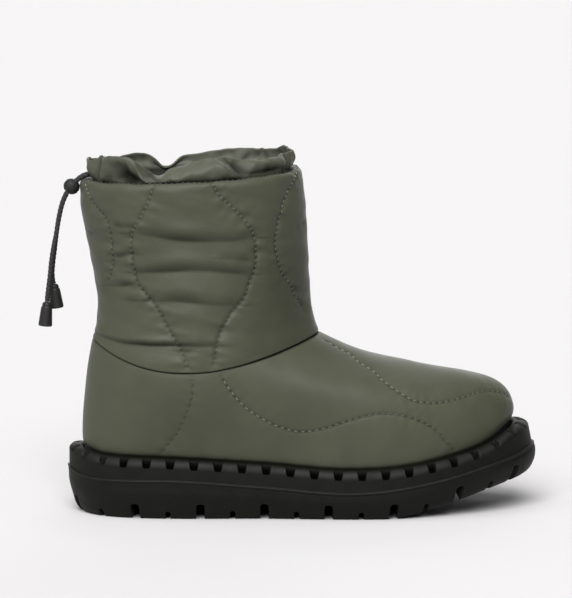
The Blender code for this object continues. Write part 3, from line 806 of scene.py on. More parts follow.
class NodeDesk:
    """Places and joins the nodes of one shader tree."""

    def __init__(self, tree: Tree) -> None:
        """Takes the tree that the nodes go into."""
        self.tree = tree

    def add(self, kind: str, settings: dict[str, Any] | None = None, **inputs: Any) -> bpy.types.Node:
        """Adds a node.

        Args:
            kind: The node's type.
            settings: Its own properties.
            **inputs: Sockets by name, _ for a blank, each given a value or another node's socket.

        Returns:
            The node.
        """
        node = self.tree.nodes.new(kind)
        for name, value in (settings or {}).items():
            setattr(node, name, value)
        for name, value in inputs.items():
            self.feed(node.inputs[name.replace("_", " ")], value)
        return node

    def feed(self, socket: Socket, value: Any) -> None:
        """Joins another socket to this one, or sets its value."""
        if isinstance(value, Socket):
            self.tree.links.new(value, socket)
        else:
            socket.default_value = value

    def maths(self, operation: str, *values: Any) -> Socket:
        """The result of a Math node on values or sockets."""
        node = self.add("ShaderNodeMath", {"operation": operation})
        for socket, value in zip(node.inputs, values):
            self.feed(socket, value)
        return node.outputs[0]

    def blend(self, share: Any, first: Any, second: Any) -> Socket:
        """The colour that is a share of the way from the first to the second."""
        node = self.add("ShaderNodeMix", {"data_type": "RGBA"})
        for index, value in ((0, share), (6, first), (7, second)):
            self.feed(node.inputs[index], value)
        return node.outputs[2]

    def spread(
        self, value: Any, low: float, high: float, to_low: float = 0.0, to_high: float = 1.0
    ) -> Socket:
        """The value moved from one range to another and held inside it."""
        ends = {"From_Min": low, "From_Max": high, "To_Min": to_low, "To_Max": to_high}
        return self.add("ShaderNodeMapRange", Value=value, **ends).outputs[0]

    def noise(self, place: Any, scale: Any, detail: float, **more: Any) -> Socket:
        """Cloudy noise, from 0 to 1."""
        return self.add("ShaderNodeTexNoise", Vector=place, Scale=scale, Detail=detail, **more).outputs[0]

    def group(self, effect: "Effect", **inputs: Any) -> Any:
        """Places a shared effect with its own values, and gives its outputs."""
        return self.add("ShaderNodeGroup", {"node_tree": effect.tree()}, **inputs).outputs


CLOUD = (0.3, 0.7)  # range that cloudy noise mostly keeps to


class Effect(Enum):
    """The shared effects, each a shader group built once."""

    WEAVE = "boot_weave"
    CRUMPLE = "boot_crumple"
    GRAIN = "boot_grain"
    SCUFF = "boot_scuff_and_highlight"

    def tree(self) -> Tree:
        """The effect's group, built the first time it is asked for."""
        made = bpy.data.node_groups.get(self.value)
        return made or getattr(self, f"_{self.name.lower()}")()

    def _start(self, inputs: dict[str, float | None], outputs: Sequence[str]) -> tuple[NodeDesk, Any, Any]:
        """Opens a new group with its sockets.

        Args:
            inputs: Input names with their values, None for a vector.
            outputs: Output names, all values.

        Returns:
            The desk, the input node's sockets and the output node's sockets.
        """
        tree = bpy.data.node_groups.new(self.value, "ShaderNodeTree")
        for name, value in inputs.items():
            kind = "NodeSocketVector" if value is None else "NodeSocketFloat"
            socket = tree.interface.new_socket(name, in_out="INPUT", socket_type=kind)
            if value is not None:
                socket.default_value = value
        for name in outputs:
            tree.interface.new_socket(name, in_out="OUTPUT", socket_type="NodeSocketFloat")
        desk = NodeDesk(tree)
        return desk, desk.add("NodeGroupInput").outputs, desk.add("NodeGroupOutput").inputs

    def _weave(self) -> Tree:
        """Plain weave: threads each way as sines, each over its neighbour in turn."""
        desk, given, put = self._start({"Vector": None, "Pitch": 0.45}, ("Height",))
        parts = desk.add("ShaderNodeSeparateXYZ", Vector=given["Vector"]).outputs
        turn = desk.maths("DIVIDE", math.pi, given["Pitch"])
        warp, weft = (desk.maths("SINE", desk.maths("MULTIPLY", parts[axis], turn)) for axis in (0, 1))
        desk.feed(put["Height"], desk.maths("MULTIPLY_ADD", desk.maths("MULTIPLY", warp, weft), 0.5, 0.5))
        return desk.tree

    def _crumple(self) -> Tree:
        """Fine wrinkles of thin nylon: folded noise for sharp lines over soft noise."""
        desk, given, put = self._start({"Vector": None, "Scale": 60.0}, ("Height", "Shade"))
        soft = desk.noise(given["Vector"], given["Scale"], 3.0, Distortion=0.6)
        closer = desk.maths("MULTIPLY", given["Scale"], 2.3)
        fine = desk.noise(given["Vector"], closer, 2.0, Distortion=1.2)
        fold = desk.maths("ABSOLUTE", desk.maths("SUBTRACT", fine, 0.5))
        desk.feed(put["Height"], desk.maths("ADD", soft, desk.maths("MULTIPLY", fold, 0.8)))
        desk.feed(put["Shade"], soft)
        return desk.tree

    def _grain(self) -> Tree:
        """Moulded grain: small cells broken up by noise."""
        desk, given, put = self._start({"Vector": None, "Scale": 900.0}, ("Height", "Mask"))
        cells = desk.add("ShaderNodeTexVoronoi", Vector=given["Vector"], Scale=given["Scale"])
        broad = desk.maths("MULTIPLY", given["Scale"], 0.06)
        cloud = desk.noise(given["Vector"], broad, 4.0)
        desk.feed(put["Height"], desk.maths("MULTIPLY", cells.outputs["Distance"], cloud))
        desk.feed(put["Mask"], cloud)
        return desk.tree

    def _scuff(self) -> Tree:
        """Lighter edges, wear on some pieces and painted highlight on others: the edge mask eaten into by
        noise.
        """
        desk, given, put = self._start({"Vector": None, "Edge": 0.0, "Scale": 120.0}, ("Mask",))
        cloud = desk.noise(given["Vector"], given["Scale"], 5.0)
        eaten = desk.maths("MULTIPLY", given["Edge"], desk.spread(cloud, *CLOUD, 0.2, 1.0))
        desk.feed(put["Mask"], desk.maths("MINIMUM", eaten, 1.0))
        return desk.tree


@dataclass(frozen=True)
class Finish:
    """A surface finish: a procedural material built once and shared by name.

    Attributes:
        name: The material's name.
        colour: Its main colour, linear.
        roughness: Its middle roughness.
    """

    name: str
    colour: Three
    roughness: float

    def material(self) -> bpy.types.Material:
        """The material, built the first time it is asked for."""
        made = bpy.data.materials.get(self.name)
        if made is None:
            made = bpy.data.materials.new(self.name)
            made.use_nodes = True
            desk = NodeDesk(made.node_tree)
            shader = made.node_tree.nodes["Principled BSDF"].inputs
            for name, value in self.dress(desk).items():
                desk.feed(shader[name], value)
        return made

    def dress(self, desk: NodeDesk) -> dict[str, Any]:
        """What the shader's sockets take, by name; each kind of finish gives this in its own way."""
        raise NotImplementedError

    def tint(self, factor: float) -> tuple[float, float, float, float]:
        """The main colour made lighter or darker."""
        return (*(channel * factor for channel in self.colour), 1.0)

    @staticmethod
    def places(desk: NodeDesk) -> Any:
        """Object and UV coordinates of the piece."""
        return desk.add("ShaderNodeTexCoord").outputs

    @staticmethod
    def carried(desk: NodeDesk, label: str) -> Socket:
        """A value that the piece carries at its points."""
        return desk.add("ShaderNodeAttribute", {"attribute_name": label}).outputs["Fac"]

    def uneven(self, desk: NodeDesk, cloud: Socket, swing: float) -> Socket:
        """The roughness, swinging about its middle with cloudy noise."""
        return desk.spread(cloud, *CLOUD, self.roughness - swing, self.roughness + swing)

    def wear_and_highlight_edges(self, desk: NodeDesk, place: Socket, scale: float) -> Socket:
        """Where the edges that the piece marks are lighter: wear on the cord's plastic and the tread,
        painted highlight on the welt's chamfers and the outsole's lip.
        """
        edge = self.carried(desk, "edge")
        return desk.group(Effect.SCUFF, Vector=place, Edge=edge, Scale=scale)["Mask"]

    @staticmethod
    def relief(desk: NodeDesk, *layers: tuple[Socket, float, float]) -> Socket:
        """A normal from bump layers, each a height with its strength and its depth in metres."""
        normal = None
        for height, strength, depth in layers:
            bump = desk.add("ShaderNodeBump", Strength=strength, Distance=depth, Height=height)
            if normal is not None:
                desk.feed(bump.inputs["Normal"], normal)
            normal = bump.outputs["Normal"]
        return normal


@dataclass(frozen=True)
class NylonFinish(Finish):
    """Woven olive nylon over padding: fine weave, soft wrinkles, and painted shade in the grooves.

    Attributes:
        cut: Size of the piece's UV map in millimetres.
        wrinkle: Strength of the fine wrinkles.
        wrinkle_scale: Wrinkles to the metre.
        gloss: Level of its reflection.
    """

    cut: tuple[float, float] = (400.0, 120.0)
    wrinkle: float = 0.25
    wrinkle_scale: float = 55.0
    gloss: float = 0.22

    def dress(self, desk: NodeDesk) -> dict[str, Any]:
        """Colour wanders; painted shade from the groove value darkens it and dims its reflection; wrinkles
        and weave raise the surface.
        """
        places = self.places(desk)
        scale = desk.add("ShaderNodeMapping", Vector=places["UV"], Scale=(*self.cut, 1.0)).outputs[0]
        weave = desk.group(Effect.WEAVE, Vector=scale, Pitch=0.42)["Height"]
        crumple = desk.group(Effect.CRUMPLE, Vector=places["Object"], Scale=self.wrinkle_scale)
        cloth = desk.blend(desk.spread(crumple["Shade"], *CLOUD), self.tint(0.93), self.tint(1.06))
        # painted shade: the carried groove value darkens the cloth and dims its reflection
        painted_groove_shade = desk.maths("MULTIPLY", self.carried(desk, "groove"), 0.85)
        return {
            "Base Color": desk.blend(painted_groove_shade, cloth, self.tint(0.12)),
            "Specular IOR Level": desk.spread(painted_groove_shade, 0.0, 0.8, self.gloss, 0.1 * self.gloss),
            "Roughness": self.uneven(desk, crumple["Shade"], 0.06),
            "Normal": self.relief(desk, (crumple["Height"], self.wrinkle, 0.0012), (weave, 0.12, 0.00012)),
            "Sheen Weight": 0.04,
            "Sheen Roughness": 0.4,
        }


@dataclass(frozen=True)
class FleeceFinish(Finish):
    """Short-napped felt and lining: soft noise at two scales and a matt sheen."""

    def dress(self, desk: NodeDesk) -> dict[str, Any]:
        """Tufts change the colour and raise the nap."""
        place = self.places(desk)["Object"]
        tuft = desk.noise(place, 420.0, 4.0, Roughness=0.7)
        patch = desk.noise(place, 45.0, 2.0)
        mixed = desk.maths("MULTIPLY_ADD", patch, 0.4, desk.maths("MULTIPLY", tuft, 0.6))
        return {
            "Base Color": desk.blend(desk.spread(mixed, *CLOUD), self.tint(0.7), self.tint(1.25)),
            "Roughness": desk.spread(tuft, *CLOUD, self.roughness - 0.05, self.roughness),
            "Normal": self.relief(desk, (tuft, 0.5, 0.0008)),
            "Sheen Weight": 0.25,
        }


@dataclass(frozen=True)
class RubberFinish(Finish):
    """Moulded rubber: fine grain, cloudy roughness, lighter edges of painted highlight and wear, and
    painted shade in the notches.

    Attributes:
        highlight_and_wear: How much lighter a marked edge is, as painted highlight on the welt and the lip
            and as wear on the tread.
    """

    highlight_and_wear: float = 2.8

    def dress(self, desk: NodeDesk) -> dict[str, Any]:
        """Marked edges turn lighter through noise, as painted highlight on the welt's chamfers and the
        outsole's lip and as wear on the tread; painted shade darkens the notches and takes their reflection
        away; grain roughens the rest.
        """
        place = self.places(desk)["Object"]
        grain = desk.group(Effect.GRAIN, Vector=place, Scale=1400.0)
        cloudy = desk.blend(desk.spread(grain["Mask"], 0.35, 0.65), self.tint(0.85), self.tint(1.15))
        # painted highlight on the welt's chamfers and the outsole's lip, wear on the tread: marked edges
        # turn lighter
        worn_and_lit = desk.blend(self.wear_and_highlight_edges(desk, place, 160.0), cloudy, self.tint(self.highlight_and_wear))
        # painted shade: the carried groove value darkens the welt's notches and takes their reflection away
        painted_groove_shade = self.carried(desk, "groove")
        return {
            "Base Color": desk.blend(painted_groove_shade, worn_and_lit, self.tint(0.15)),
            "Specular IOR Level": desk.spread(painted_groove_shade, 0.0, 0.8, 0.14, 0.0),
            "Roughness": self.uneven(desk, grain["Mask"], 0.07),
            "Normal": self.relief(desk, (grain["Height"], 0.22, 0.0003)),
        }


@dataclass(frozen=True)
class BraidFinish(Finish):
    """Braided cord: strands crossing both ways on the cord's own UV map.

    Attributes:
        turns: Strands round the cord.
        rows: Crossings along the cord.
    """

    turns: float = 4.0
    rows: float = 30.0

    def dress(self, desk: NodeDesk) -> dict[str, Any]:
        """Two crossing sets of strands lighten and darken the cord."""
        parts = desk.add("ShaderNodeSeparateXYZ", Vector=self.places(desk)["UV"]).outputs
        round_ = desk.maths("MULTIPLY", parts[0], TAU * self.turns)
        along = desk.maths("MULTIPLY", parts[1], TAU * self.rows)
        left = desk.maths("SINE", desk.maths("ADD", round_, along))
        right = desk.maths("SINE", desk.maths("SUBTRACT", round_, along))
        strand = desk.spread(desk.maths("MAXIMUM", left, right), -0.4, 1.0)
        return {
            "Base Color": desk.blend(strand, self.tint(0.45), self.tint(1.5)),
            "Roughness": desk.spread(strand, 0.0, 1.0, self.roughness + 0.1, self.roughness - 0.05),
            "Normal": self.relief(desk, (strand, 0.5, 0.0003)),
        }


@dataclass(frozen=True)
class PlasticFinish(Finish):
    """Moulded satin plastic: faint grain and worn edges."""

    def dress(self, desk: NodeDesk) -> dict[str, Any]:
        """A faint grain with cloudy gloss, lighter on its edges."""
        place = self.places(desk)["Object"]
        grain = desk.group(Effect.GRAIN, Vector=place, Scale=2600.0)
        scuff = self.wear_and_highlight_edges(desk, place, 500.0)
        return {
            "Base Color": desk.blend(scuff, self.tint(1.0), self.tint(1.4)),
            "Specular IOR Level": 0.2,
            "Roughness": self.uneven(desk, grain["Mask"], 0.06),
            "Normal": self.relief(desk, (grain["Height"], 0.15, 0.0002)),
        }


@dataclass(frozen=True)
class ThreadFinish(Finish):
    """Twisted sewing thread: plies wound along each stitch's own UV map."""

    def dress(self, desk: NodeDesk) -> dict[str, Any]:
        """Plies lighten and darken the thread."""
        parts = desk.add("ShaderNodeSeparateXYZ", Vector=self.places(desk)["UV"]).outputs
        turn = desk.maths("MULTIPLY_ADD", parts[0], TAU * 3.0, desk.maths("MULTIPLY", parts[1], TAU * 2.0))
        ply = desk.spread(desk.maths("SINE", turn), -1.0, 1.0, 0.8, 1.15)
        light = desk.maths("MULTIPLY", ply, self.carried(desk, "tone"))
        return {
            "Base Color": desk.blend(light, self.tint(0.1), self.tint(1.0)),
            "Roughness": desk.spread(ply, 0.0, 1.0, self.roughness + 0.1, self.roughness),
        }


@dataclass(frozen=True)
class FloorFinish(Finish):
    """A plain pale studio floor with the faintest unevenness."""

    def dress(self, desk: NodeDesk) -> dict[str, Any]:
        """Broad noise moves the colour by under a hundredth."""
        cloud = desk.noise(self.places(desk)["Object"], 3.0, 1.0)
        return {
            "Base Color": desk.blend(cloud, self.tint(0.997), self.tint(1.003)),
            "Roughness": self.roughness,
            "Specular IOR Level": 0.0,
        }


OLIVE = (0.0475, 0.0512, 0.0328)
FOOT_NYLON = NylonFinish("foot_nylon", OLIVE, 0.52, (780.0, 130.0), 0.10, 40.0)
SHAFT_NYLON = NylonFinish("shaft_nylon", OLIVE, 0.54, (380.0, 160.0), 0.20, 55.0)
COLLAR_NYLON = NylonFinish(
    "gathered_nylon", (0.0580, 0.0610, 0.0440), 0.48, (330.0, 46.0), 0.26, 90.0, 0.17
)
# painted light: a lighter copy of the collar nylon for its inner face, standing in for light on the far
# inside
COLLAR_INSIDE_PAINTED_LIGHT = NylonFinish(
    "gathered_nylon_inside_painted_light", (0.0850, 0.0880, 0.0680), 0.55, (330.0, 46.0), 0.22, 90.0, 0.17
)
LINING = FleeceFinish("lining_fleece", (0.060, 0.062, 0.054), 0.95)
FELT = FleeceFinish("insole_felt", (0.050, 0.051, 0.046), 0.95)
RUBBER = RubberFinish("sole_rubber", (0.0039, 0.0041, 0.0032), 0.58)
BRAID = BraidFinish("drawcord_braid", (0.0085, 0.0085, 0.0085), 0.75)
PLASTIC = PlasticFinish("cord_plastic", (0.0135, 0.0138, 0.0130), 0.5)
THREAD = ThreadFinish("quilting_thread", (0.190, 0.190, 0.160), 0.55)
FLOOR = FloorFinish("studio_floor", (0.520, 0.511, 0.515), 0.9)


@dataclass
class Studio:
    """The camera at the photograph's angle, soft even light and a pale floor.

    Attributes:
        yaw: Degrees that the camera looks towards the toe.
        elevation: Degrees that it looks down.
        distance: Metres from the target.
        target: The point it looks at, in metres.
        lens: Focal length in millimetres on a 36 mm sensor.
        suns: Name, direction it comes from, strength and angular size in degrees of each light.
        sky: Strength of the even light all round.
    """

    yaw: float = 3.5
    elevation: float = 8.0
    distance: float = 3.0
    target: Three = (-0.010, 0.0, 0.126)
    lens: float = 301.7
    suns: tuple[tuple[str, Three, float, float], ...] = (
        ("key", (-0.20, -1.0, 0.98), 4.45, 42.0),
        ("fill", (-0.95, -0.35, 0.55), 1.2, 110.0),
        ("top", (-0.05, -0.10, 1.0), 1.25, 60.0),
        ("rim", (0.20, 0.95, 0.22), 1.8, 60.0),
    )
    sky: float = 0.08

    def place_camera(self) -> None:
        """Sets the camera up: the look is level turned by yaw, then tipped down by elevation."""
        yaw, tip = math.radians(self.yaw), math.radians(self.elevation)
        look = Vector((math.sin(yaw) * math.cos(tip), math.cos(yaw) * math.cos(tip), -math.sin(tip)))
        camera = bpy.data.objects.new("camera", bpy.data.cameras.new("camera"))
        camera.data.sensor_width, camera.data.lens = 36.0, self.lens
        camera.data.clip_end = 60.0
        camera.location = Vector(self.target) - self.distance * look
        camera.rotation_euler = look.to_track_quat("-Z", "Y").to_euler()
        bpy.context.scene.collection.objects.link(camera)
        bpy.context.scene.camera = camera

    def light(self) -> None:
        """Adds wide suns and an even sky, and shows colours as they are."""
        scene = bpy.context.scene
        for name, way, strength, size in self.suns:
            sun = bpy.data.lights.new(name, "SUN")
            sun.energy, sun.angle = strength, math.radians(size)
            lamp = bpy.data.objects.new(name, sun)
            lamp.rotation_euler = Vector(way).to_track_quat("Z", "Y").to_euler()
            scene.collection.objects.link(lamp)
        scene.world = bpy.data.worlds.new("studio")
        scene.world.use_nodes = True
        sky = scene.world.node_tree.nodes["Background"].inputs
        sky["Color"].default_value = (1.0, 1.0, 1.0, 1.0)
        sky["Strength"].default_value = self.sky
        scene.view_settings.view_transform = "Standard"
        scene.view_settings.look = "None"

    def lay_floor(self, half: float = 16.0) -> None:
        """Lays the floor, a wide level square of a few faces, under the sole.

        Args:
            half: Half its side in metres.
        """
        side = np.linspace(-half, half, 9) / MM
        x, y = np.meshgrid(side, side)
        points = np.stack([x, y, np.zeros_like(x)], axis=-1)
        mesh = Surface(points, wrap_columns=False).mesh("floor", np.zeros(3))
        floor = bpy.data.objects.new("floor", mesh)
        mesh.materials.append(FLOOR.material())
        bpy.context.scene.collection.objects.link(floor)


def circles(way: Array, sides: int) -> Array:
    """Unit circles square to the ways given: the cosine and sine of two directions across each, the
    first square to y, which no way runs along.

    Args:
        way: Unit vectors, with three coordinates last.
        sides: Points round each circle.

    Returns:
        The circles, ways by sides by three.
    """
    first = unit(np.cross(way, [0.0, 1.0, 0.02]))
    second = np.cross(way, first)
    angles = once_round(sides)[:, None]
    return np.cos(angles) * first[..., None, :] + np.sin(angles) * second[..., None, :]


# Routes of the strands, with y as the distance from the middle: the run that both share over the rim and
# through the lock, then each one's own
SHARED_RUN: Rows = (
    (-125.3, 1.7, 202.2), (-128.6, 1.7, 201.8), (-131.8, 1.7, 200.3), (-134.4, 1.7, 198.2),
    (-137.3, 1.7, 194.8), (-140.2, 1.7, 190.9), (-142.8, 1.7, 185), (-144.8, 1.8, 177),
)
LONG_RUN: Rows = (
    (-146.6, 2.1, 167), (-148.6, 2.5, 157), (-149.8, 2.8, 149), (-150.5, 3, 142),
    (-151.6, 3.2, 133.5), (-152.2, 3.3, 128.8), (-152.3, 3.3, 126.3),
)
SHORT_RUN: Rows = (
    (-146.4, 2.1, 167), (-147.6, 2.5, 157), (-148.6, 2.8, 149), (-149.1, 3, 142.5),
    (-148.9, 3.1, 139), (-148.3, 3.1, 136.2),
)
STRAND_OFF = SHARED_RUN[0][1]  # half the spacing of the strands in the lock


def strand_route(side: Side, own_run: Rows) -> Array:
    """A strand's points from the collar to its tip, on one side of the middle."""
    return np.array([*SHARED_RUN, *own_run]) * [1.0, side.value, 1.0]


@dataclass
class Drawcord:
    """The drawcord: two braided strands that come over the rim, run through a ball-shaped lock and hang
    behind the heel, each with a moulded bell on its end.

    Attributes:
        form: The boot's form.
        diameter: The strands' diameter.
        strands: Each strand's route from the collar to its tip.
        sides: Points round a strand.
        yarn_lay: Length of a strand in which its yarns go once round.
        lock_centre: Middle of the lock.
        lock_slope: Degrees by which the strands run down and back through the lock.
        lock_radius: Half the lock's diameter.
        mouth: Inner and outer radius of the lock's mouths, and how deep they are pressed in.
        bell: The bell's section from its top: depth and radius.
        bell_lip: Depth of the bell's lip.
        flutes: Number of the bell's grip flutes.
        flute_depth: Their depth as a share of the radius.
    """

    form: BootForm
    diameter: float = 3.0
    strands: dict[str, Array] = field(
        default_factory=lambda: {
            "long": strand_route(Side.OUTER, LONG_RUN),
            "short": strand_route(Side.INNER, SHORT_RUN),
        }
    )
    sides: int = 24
    yarn_lay: float = 5.2
    lock_centre: Three = (-137.3, 0.0, 194.8)
    lock_slope: float = 50.0
    lock_radius: float = 4.9
    mouth: Three = (1.35, 1.95, 1.3)
    bell: Rows = (
        (0.3, 0), (0.3, 1.6), (0.5, 2.1), (1.3, 2.7), (2, 2.9), (2.3, 2.75), (2.8, 2.75), (3.1, 3.1),
        (4.3, 3.4), (9, 3.75), (13.4, 4.1), (14.1, 4.15), (14.7, 3.9), (14.8, 3.4), (13.6, 2.9),
        (12.6, 2.4), (12.4, 0),
    )
    bell_lip: float = 14.1
    flutes: int = 10
    flute_depth: float = 0.035

    def build(self) -> None:
        """Makes the strands, the bells and the lock."""
        lock = self.lock()
        for name, route in self.strands.items():
            bell = self.end_bell(name, route)
            self.strand(name, route, [bell, lock] if name == "long" else [bell])

    def strand(self, name: str, route: Array, carried: list[bpy.types.Object]) -> None:
        """One braided strand: circles square to its path, whose radius swells where either set of yarns
        passes over.

        Args:
            name: The strand's name.
            route: Its points.
            carried: The pieces on it; not used.
        """
        path = thread_through(route, 0.45)
        along = arc_lengths(path)
        turn = once_round(self.sides)[None, :]
        lay = TAU * along[:, None] / self.yarn_lay
        yarn = np.maximum(np.cos(4 * turn + 2 * lay), np.cos(4 * turn - 2 * lay))
        radius = self.diameter / 2 - 0.12 + 0.16 * (yarn - 0.3)
        grid = path[:, None] + radius[..., None] * circles(unit(np.gradient(path, axis=0)), self.sides)
        caps = np.repeat(path[[0, -1], None], self.sides, axis=1)
        shell = Surface(np.concatenate([caps[:1], grid, caps[1:]])[:, ::-1], merge=True)
        finish = replace(BRAID, name="braid_" + name, rows=2 * along[-1] / self.yarn_lay)
        node = f"drawcord_{name}"
        piece = add_piece(f"{node}_braid", shell, self.form, [finish], [node])

    def turned(self, profile: Array, base: Array, way: Array, sides: int) -> Array:
        """A profile, rows of distance along an axis and radius, turned about that axis."""
        way = unit(way)
        return base + profile[:, :1, None] * way + profile[:, 1:, None] * circles(way, sides)[None]

    def end_bell(self, name: str, route: Array) -> bpy.types.Object:
        """The moulded bell on a strand's end: a turned profile with a neck, a flared skirt and grip
        flutes.

        Args:
            name: The strand's name.
            route: The strand's points.

        Returns:
            The piece.
        """
        path = thread_through(route, 6.0)
        way = unit(path[-1] - path[-2])
        profile = np.array(self.bell)
        dense = np.repeat(profile, 2, axis=0)
        dense[1:-1:2] = (2 * profile[:-1] + profile[1:]) / 3
        dense[2::2] = (profile[:-1] + 2 * profile[1:]) / 3
        sides = 40
        grid = self.turned(dense, path[-1], way, sides)
        axis = path[-1] + dense[:, :1] * way
        flute = np.cos(self.flutes * once_round(sides))[None, :, None]
        skirt = (ease(4.0, 6.0, dense[:, 0]) * (1 - ease(11.5, 13.0, dense[:, 0])))[:, None, None]
        grid = axis[:, None] + (grid - axis[:, None]) * (1 - self.flute_depth * skirt * (1 - flute) / 2)
        edge = np.repeat(hump(dense[:, 0] - self.bell_lip, 0.6)[:, None], sides, axis=1)
        shell = Surface(grid[:, ::-1], values={"edge": edge}, merge=True)
        node = f"cord_end_{name}"
        return add_piece(f"{node}_bell", shell, self.form, [PLASTIC], [node])

    def lock(self) -> bpy.types.Object:
        """The cord lock: a ball, a little flat at its ends, with a parting groove, and mouths pressed in
        where the strands go through.

        Returns:
            The piece.
        """
        sides, turn = 64, np.linspace(0.0, math.pi, 45)
        radius = self.lock_radius * (1 - 0.035 * hump(np.cos(turn), 0.05))
        profile = np.column_stack([-radius * np.cos(turn) * 0.96, radius * np.sin(turn)])
        slope = math.radians(self.lock_slope)
        way = np.array([-math.cos(slope), 0.0, -math.sin(slope)])
        grid = self.turned(profile, np.array(self.lock_centre), way, sides)
        off = grid - np.array(self.lock_centre)
        along, lift = off @ way, off @ np.cross(way, [0.0, 1.0, 0.0])
        out = np.hypot(lift, np.maximum(abs(off[..., 1]) - STRAND_OFF, 0.0))
        inner, outer, depth = self.mouth
        pressed = depth * (1 - ease(inner, outer, out)) * ease(0.3, 0.6, abs(along) / self.lock_radius)
        grid = grid - np.sign(along)[..., None] * way * pressed[..., None]
        edge = hump(out - 1.9, 0.25)
        shell = Surface(grid[:, ::-1], values={"edge": edge}, merge=True)
        return add_piece("cord_lock_ball", shell, self.form, [PLASTIC], ["cord_lock"])


@dataclass
class Sole:
    """The sole: lugged outsole, smooth midsole band, welt cut into blocks, and insole.

    Attributes:
        form: The boot's form.
        side: Outsole side from tread to top: share of the height, stand-out along the boot and at the toe.
        toe_blend: Distances along the boot between which the toe's sizes take over.
        setback: How far the welt and midsole stand inside the outsole's lip, and how much further at the
            toe, at the midsole's foot and at the welt's top.
        welt_height: Height of the welt.
        notch_pitch: Spacing of the welt's notches.
        notch_half: Half their width at the welt's top and at their floor.
        toe_shift: How far the notches beside the toe move from it, where, and over what length.
        slot_first: Distance along the boot of the first tall tread slot.
        slot_pitch: Spacing of the tall slots.
        slot_count: Number of slots along each side, tall and short.
        heel_slots: How far to either side of the heel's middle a tall slot stands.
        slot_corner: Radius of a slot's two upper corners.
        toe_slot: Distance along the boot of the slot under the toe.
        tall: Tall slots' half width, height and reach inwards.
        short: The same of the short slots between them.
        recess: How far in a slot's ceiling starts.
        channel: Tread channel along the middle: back, front, half width, depth.
        welt_sections: A block's section as share of the width and height over the top, a notch's, and the
        weight of painted highlight on a block's edge there, which also shapes the painted shade in a notch.
    """

    form: BootForm | None = None
    side: Rows = (
        (0, -7, -5), (0.07, -5.2, -2.8), (0.32, -2.9, 0.4), (0.62, -0.7, 1.4), (0.86, -0.3, 0.8),
        (0.93, 0, 0.2), (1, 0, 0),
    )
    toe_blend: tuple[float, float] = (85.0, 135.0)
    setback: Three = (0.8, 0.6, 5.0)
    welt_height: float = 5.7
    notch_pitch: float = 14.3
    notch_half: tuple[float, float] = (3.0, 2.0)
    toe_shift: Three = (5.0, 32.0, 26.0)
    slot_first: float = -100.7
    slot_pitch: float = 38.0
    slot_count: int = 13
    heel_slots: float = 8.0
    slot_corner: float = 1.3
    toe_slot: float = 121.5
    tall: Three = (2.3, 9.2, 26.0)
    short: Three = (1.5, 4.8, 11.0)
    recess: float = 7.0
    channel: tuple[float, float, float, float] = (-92.0, 44.0, 7.0, 2.6)
    welt_sections: Rows = (
        (0, -0.6, 0, -0.6, 0), (0, -3, 0, -3, 0), (0, -5.68, 0, -5.68, 0), (0.5, -5.68, 0.5, -5.68, 0),
        (1, -5.68, 1, -5.68, 0), (1, -5.58, 1, -5.6, 0), (1, -5.1, 1, -5.4, 0.2),
        (0.985, -4.2, 0.99, -5.25, 0.6), (0.93, -3.2, 0.93, -5.12, 0.9), (0.84, -2.2, 0.78, -4.98, 1),
        (0.72, -1.3, 0.6, -4.8, 1), (0.58, -0.65, 0.46, -4.5, 0.9), (0.44, -0.25, 0.37, -3.8, 0.7),
        (0.35, -0.08, 0.32, -2.3, 0.5), (0.29, 0, 0.29, -0.6, 0.4), (0.2, 0, 0.2, -0.05, 0.2),
        (0.06, -0.15, 0.06, -0.15, 0),
    )

    def toe_share(self, stations: Stations) -> Array:
        """How far the toe's sizes have taken over from those along the boot."""
        back, front = self.toe_blend
        return np.clip((stations.columns[0] - back) / (front - back), 0.0, 1.0)

    def welt_reach(self, stations: Stations, up: Array | float) -> Array:
        """How far outside the upper's edge the welt's and the midsole's sides stand, at a share of the
        way up from the outsole to the welt's top: they lean back at the toe."""
        along, foot, top = self.setback
        return stations.reach - along - (foot + (top - foot) * up) * self.toe_share(stations) ** 2

    def side_offsets(self, stations: Stations, shares: Array) -> Array:
        """Distances outside the upper's edge of the outsole's side, by share of its height.

        Args:
            stations: Points round the boot.
            shares: Shares of the height, one row each, or a grid of them.

        Returns:
            Offsets, shares by stations.
        """
        table = np.array(self.side).T
        toe = self.toe_share(stations)
        shares = shares[:, None] if shares.ndim == 1 else shares
        along, tip = (smooth_line(table[0], table[i], shares) for i in (1, 2))
        return stations.reach + along + (tip - along) * toe

    def build(self) -> None:
        """Makes the outsole, the midsole, the welt and the insole."""
        self.outsole()
        self.midsole()
        self.welt()
        self.insole()

    def spine(self, edge: Array, low: float = -96.0, high: float = 92.0, pitch: float = 3.0) -> Array:
        """The middle of the sole beneath each edge point, on even marks so that both sides meet."""
        x = np.round(np.clip(edge[:, 0], low, high) / pitch) * pitch
        return np.column_stack([x, 4.0 * ease(40.0, 95.0, x)])

    def drawn_in(self, plan: Array, share: float) -> Array:
        """Plan points moved a share of the way to the sole's middle."""
        return plan + (self.spine(plan) - plan) * share

    def lifted(self, plan: Array, column: int, above: Array | float) -> Array:
        """Plan points given the height of one of the sole's lines and more."""
        height = self.form.sole_line(column, plan[..., 0]) + above
        return np.concatenate([plan, height[..., None]], axis=-1)

    def inside_edge(self, at: Array | float, inset: float) -> Array:
        """Plan points a set way inside the sole's edge, at the plan parameters given."""
        stations = self.form.stations(np.atleast_1d(at))
        return stations.edge(stations.reach - inset)

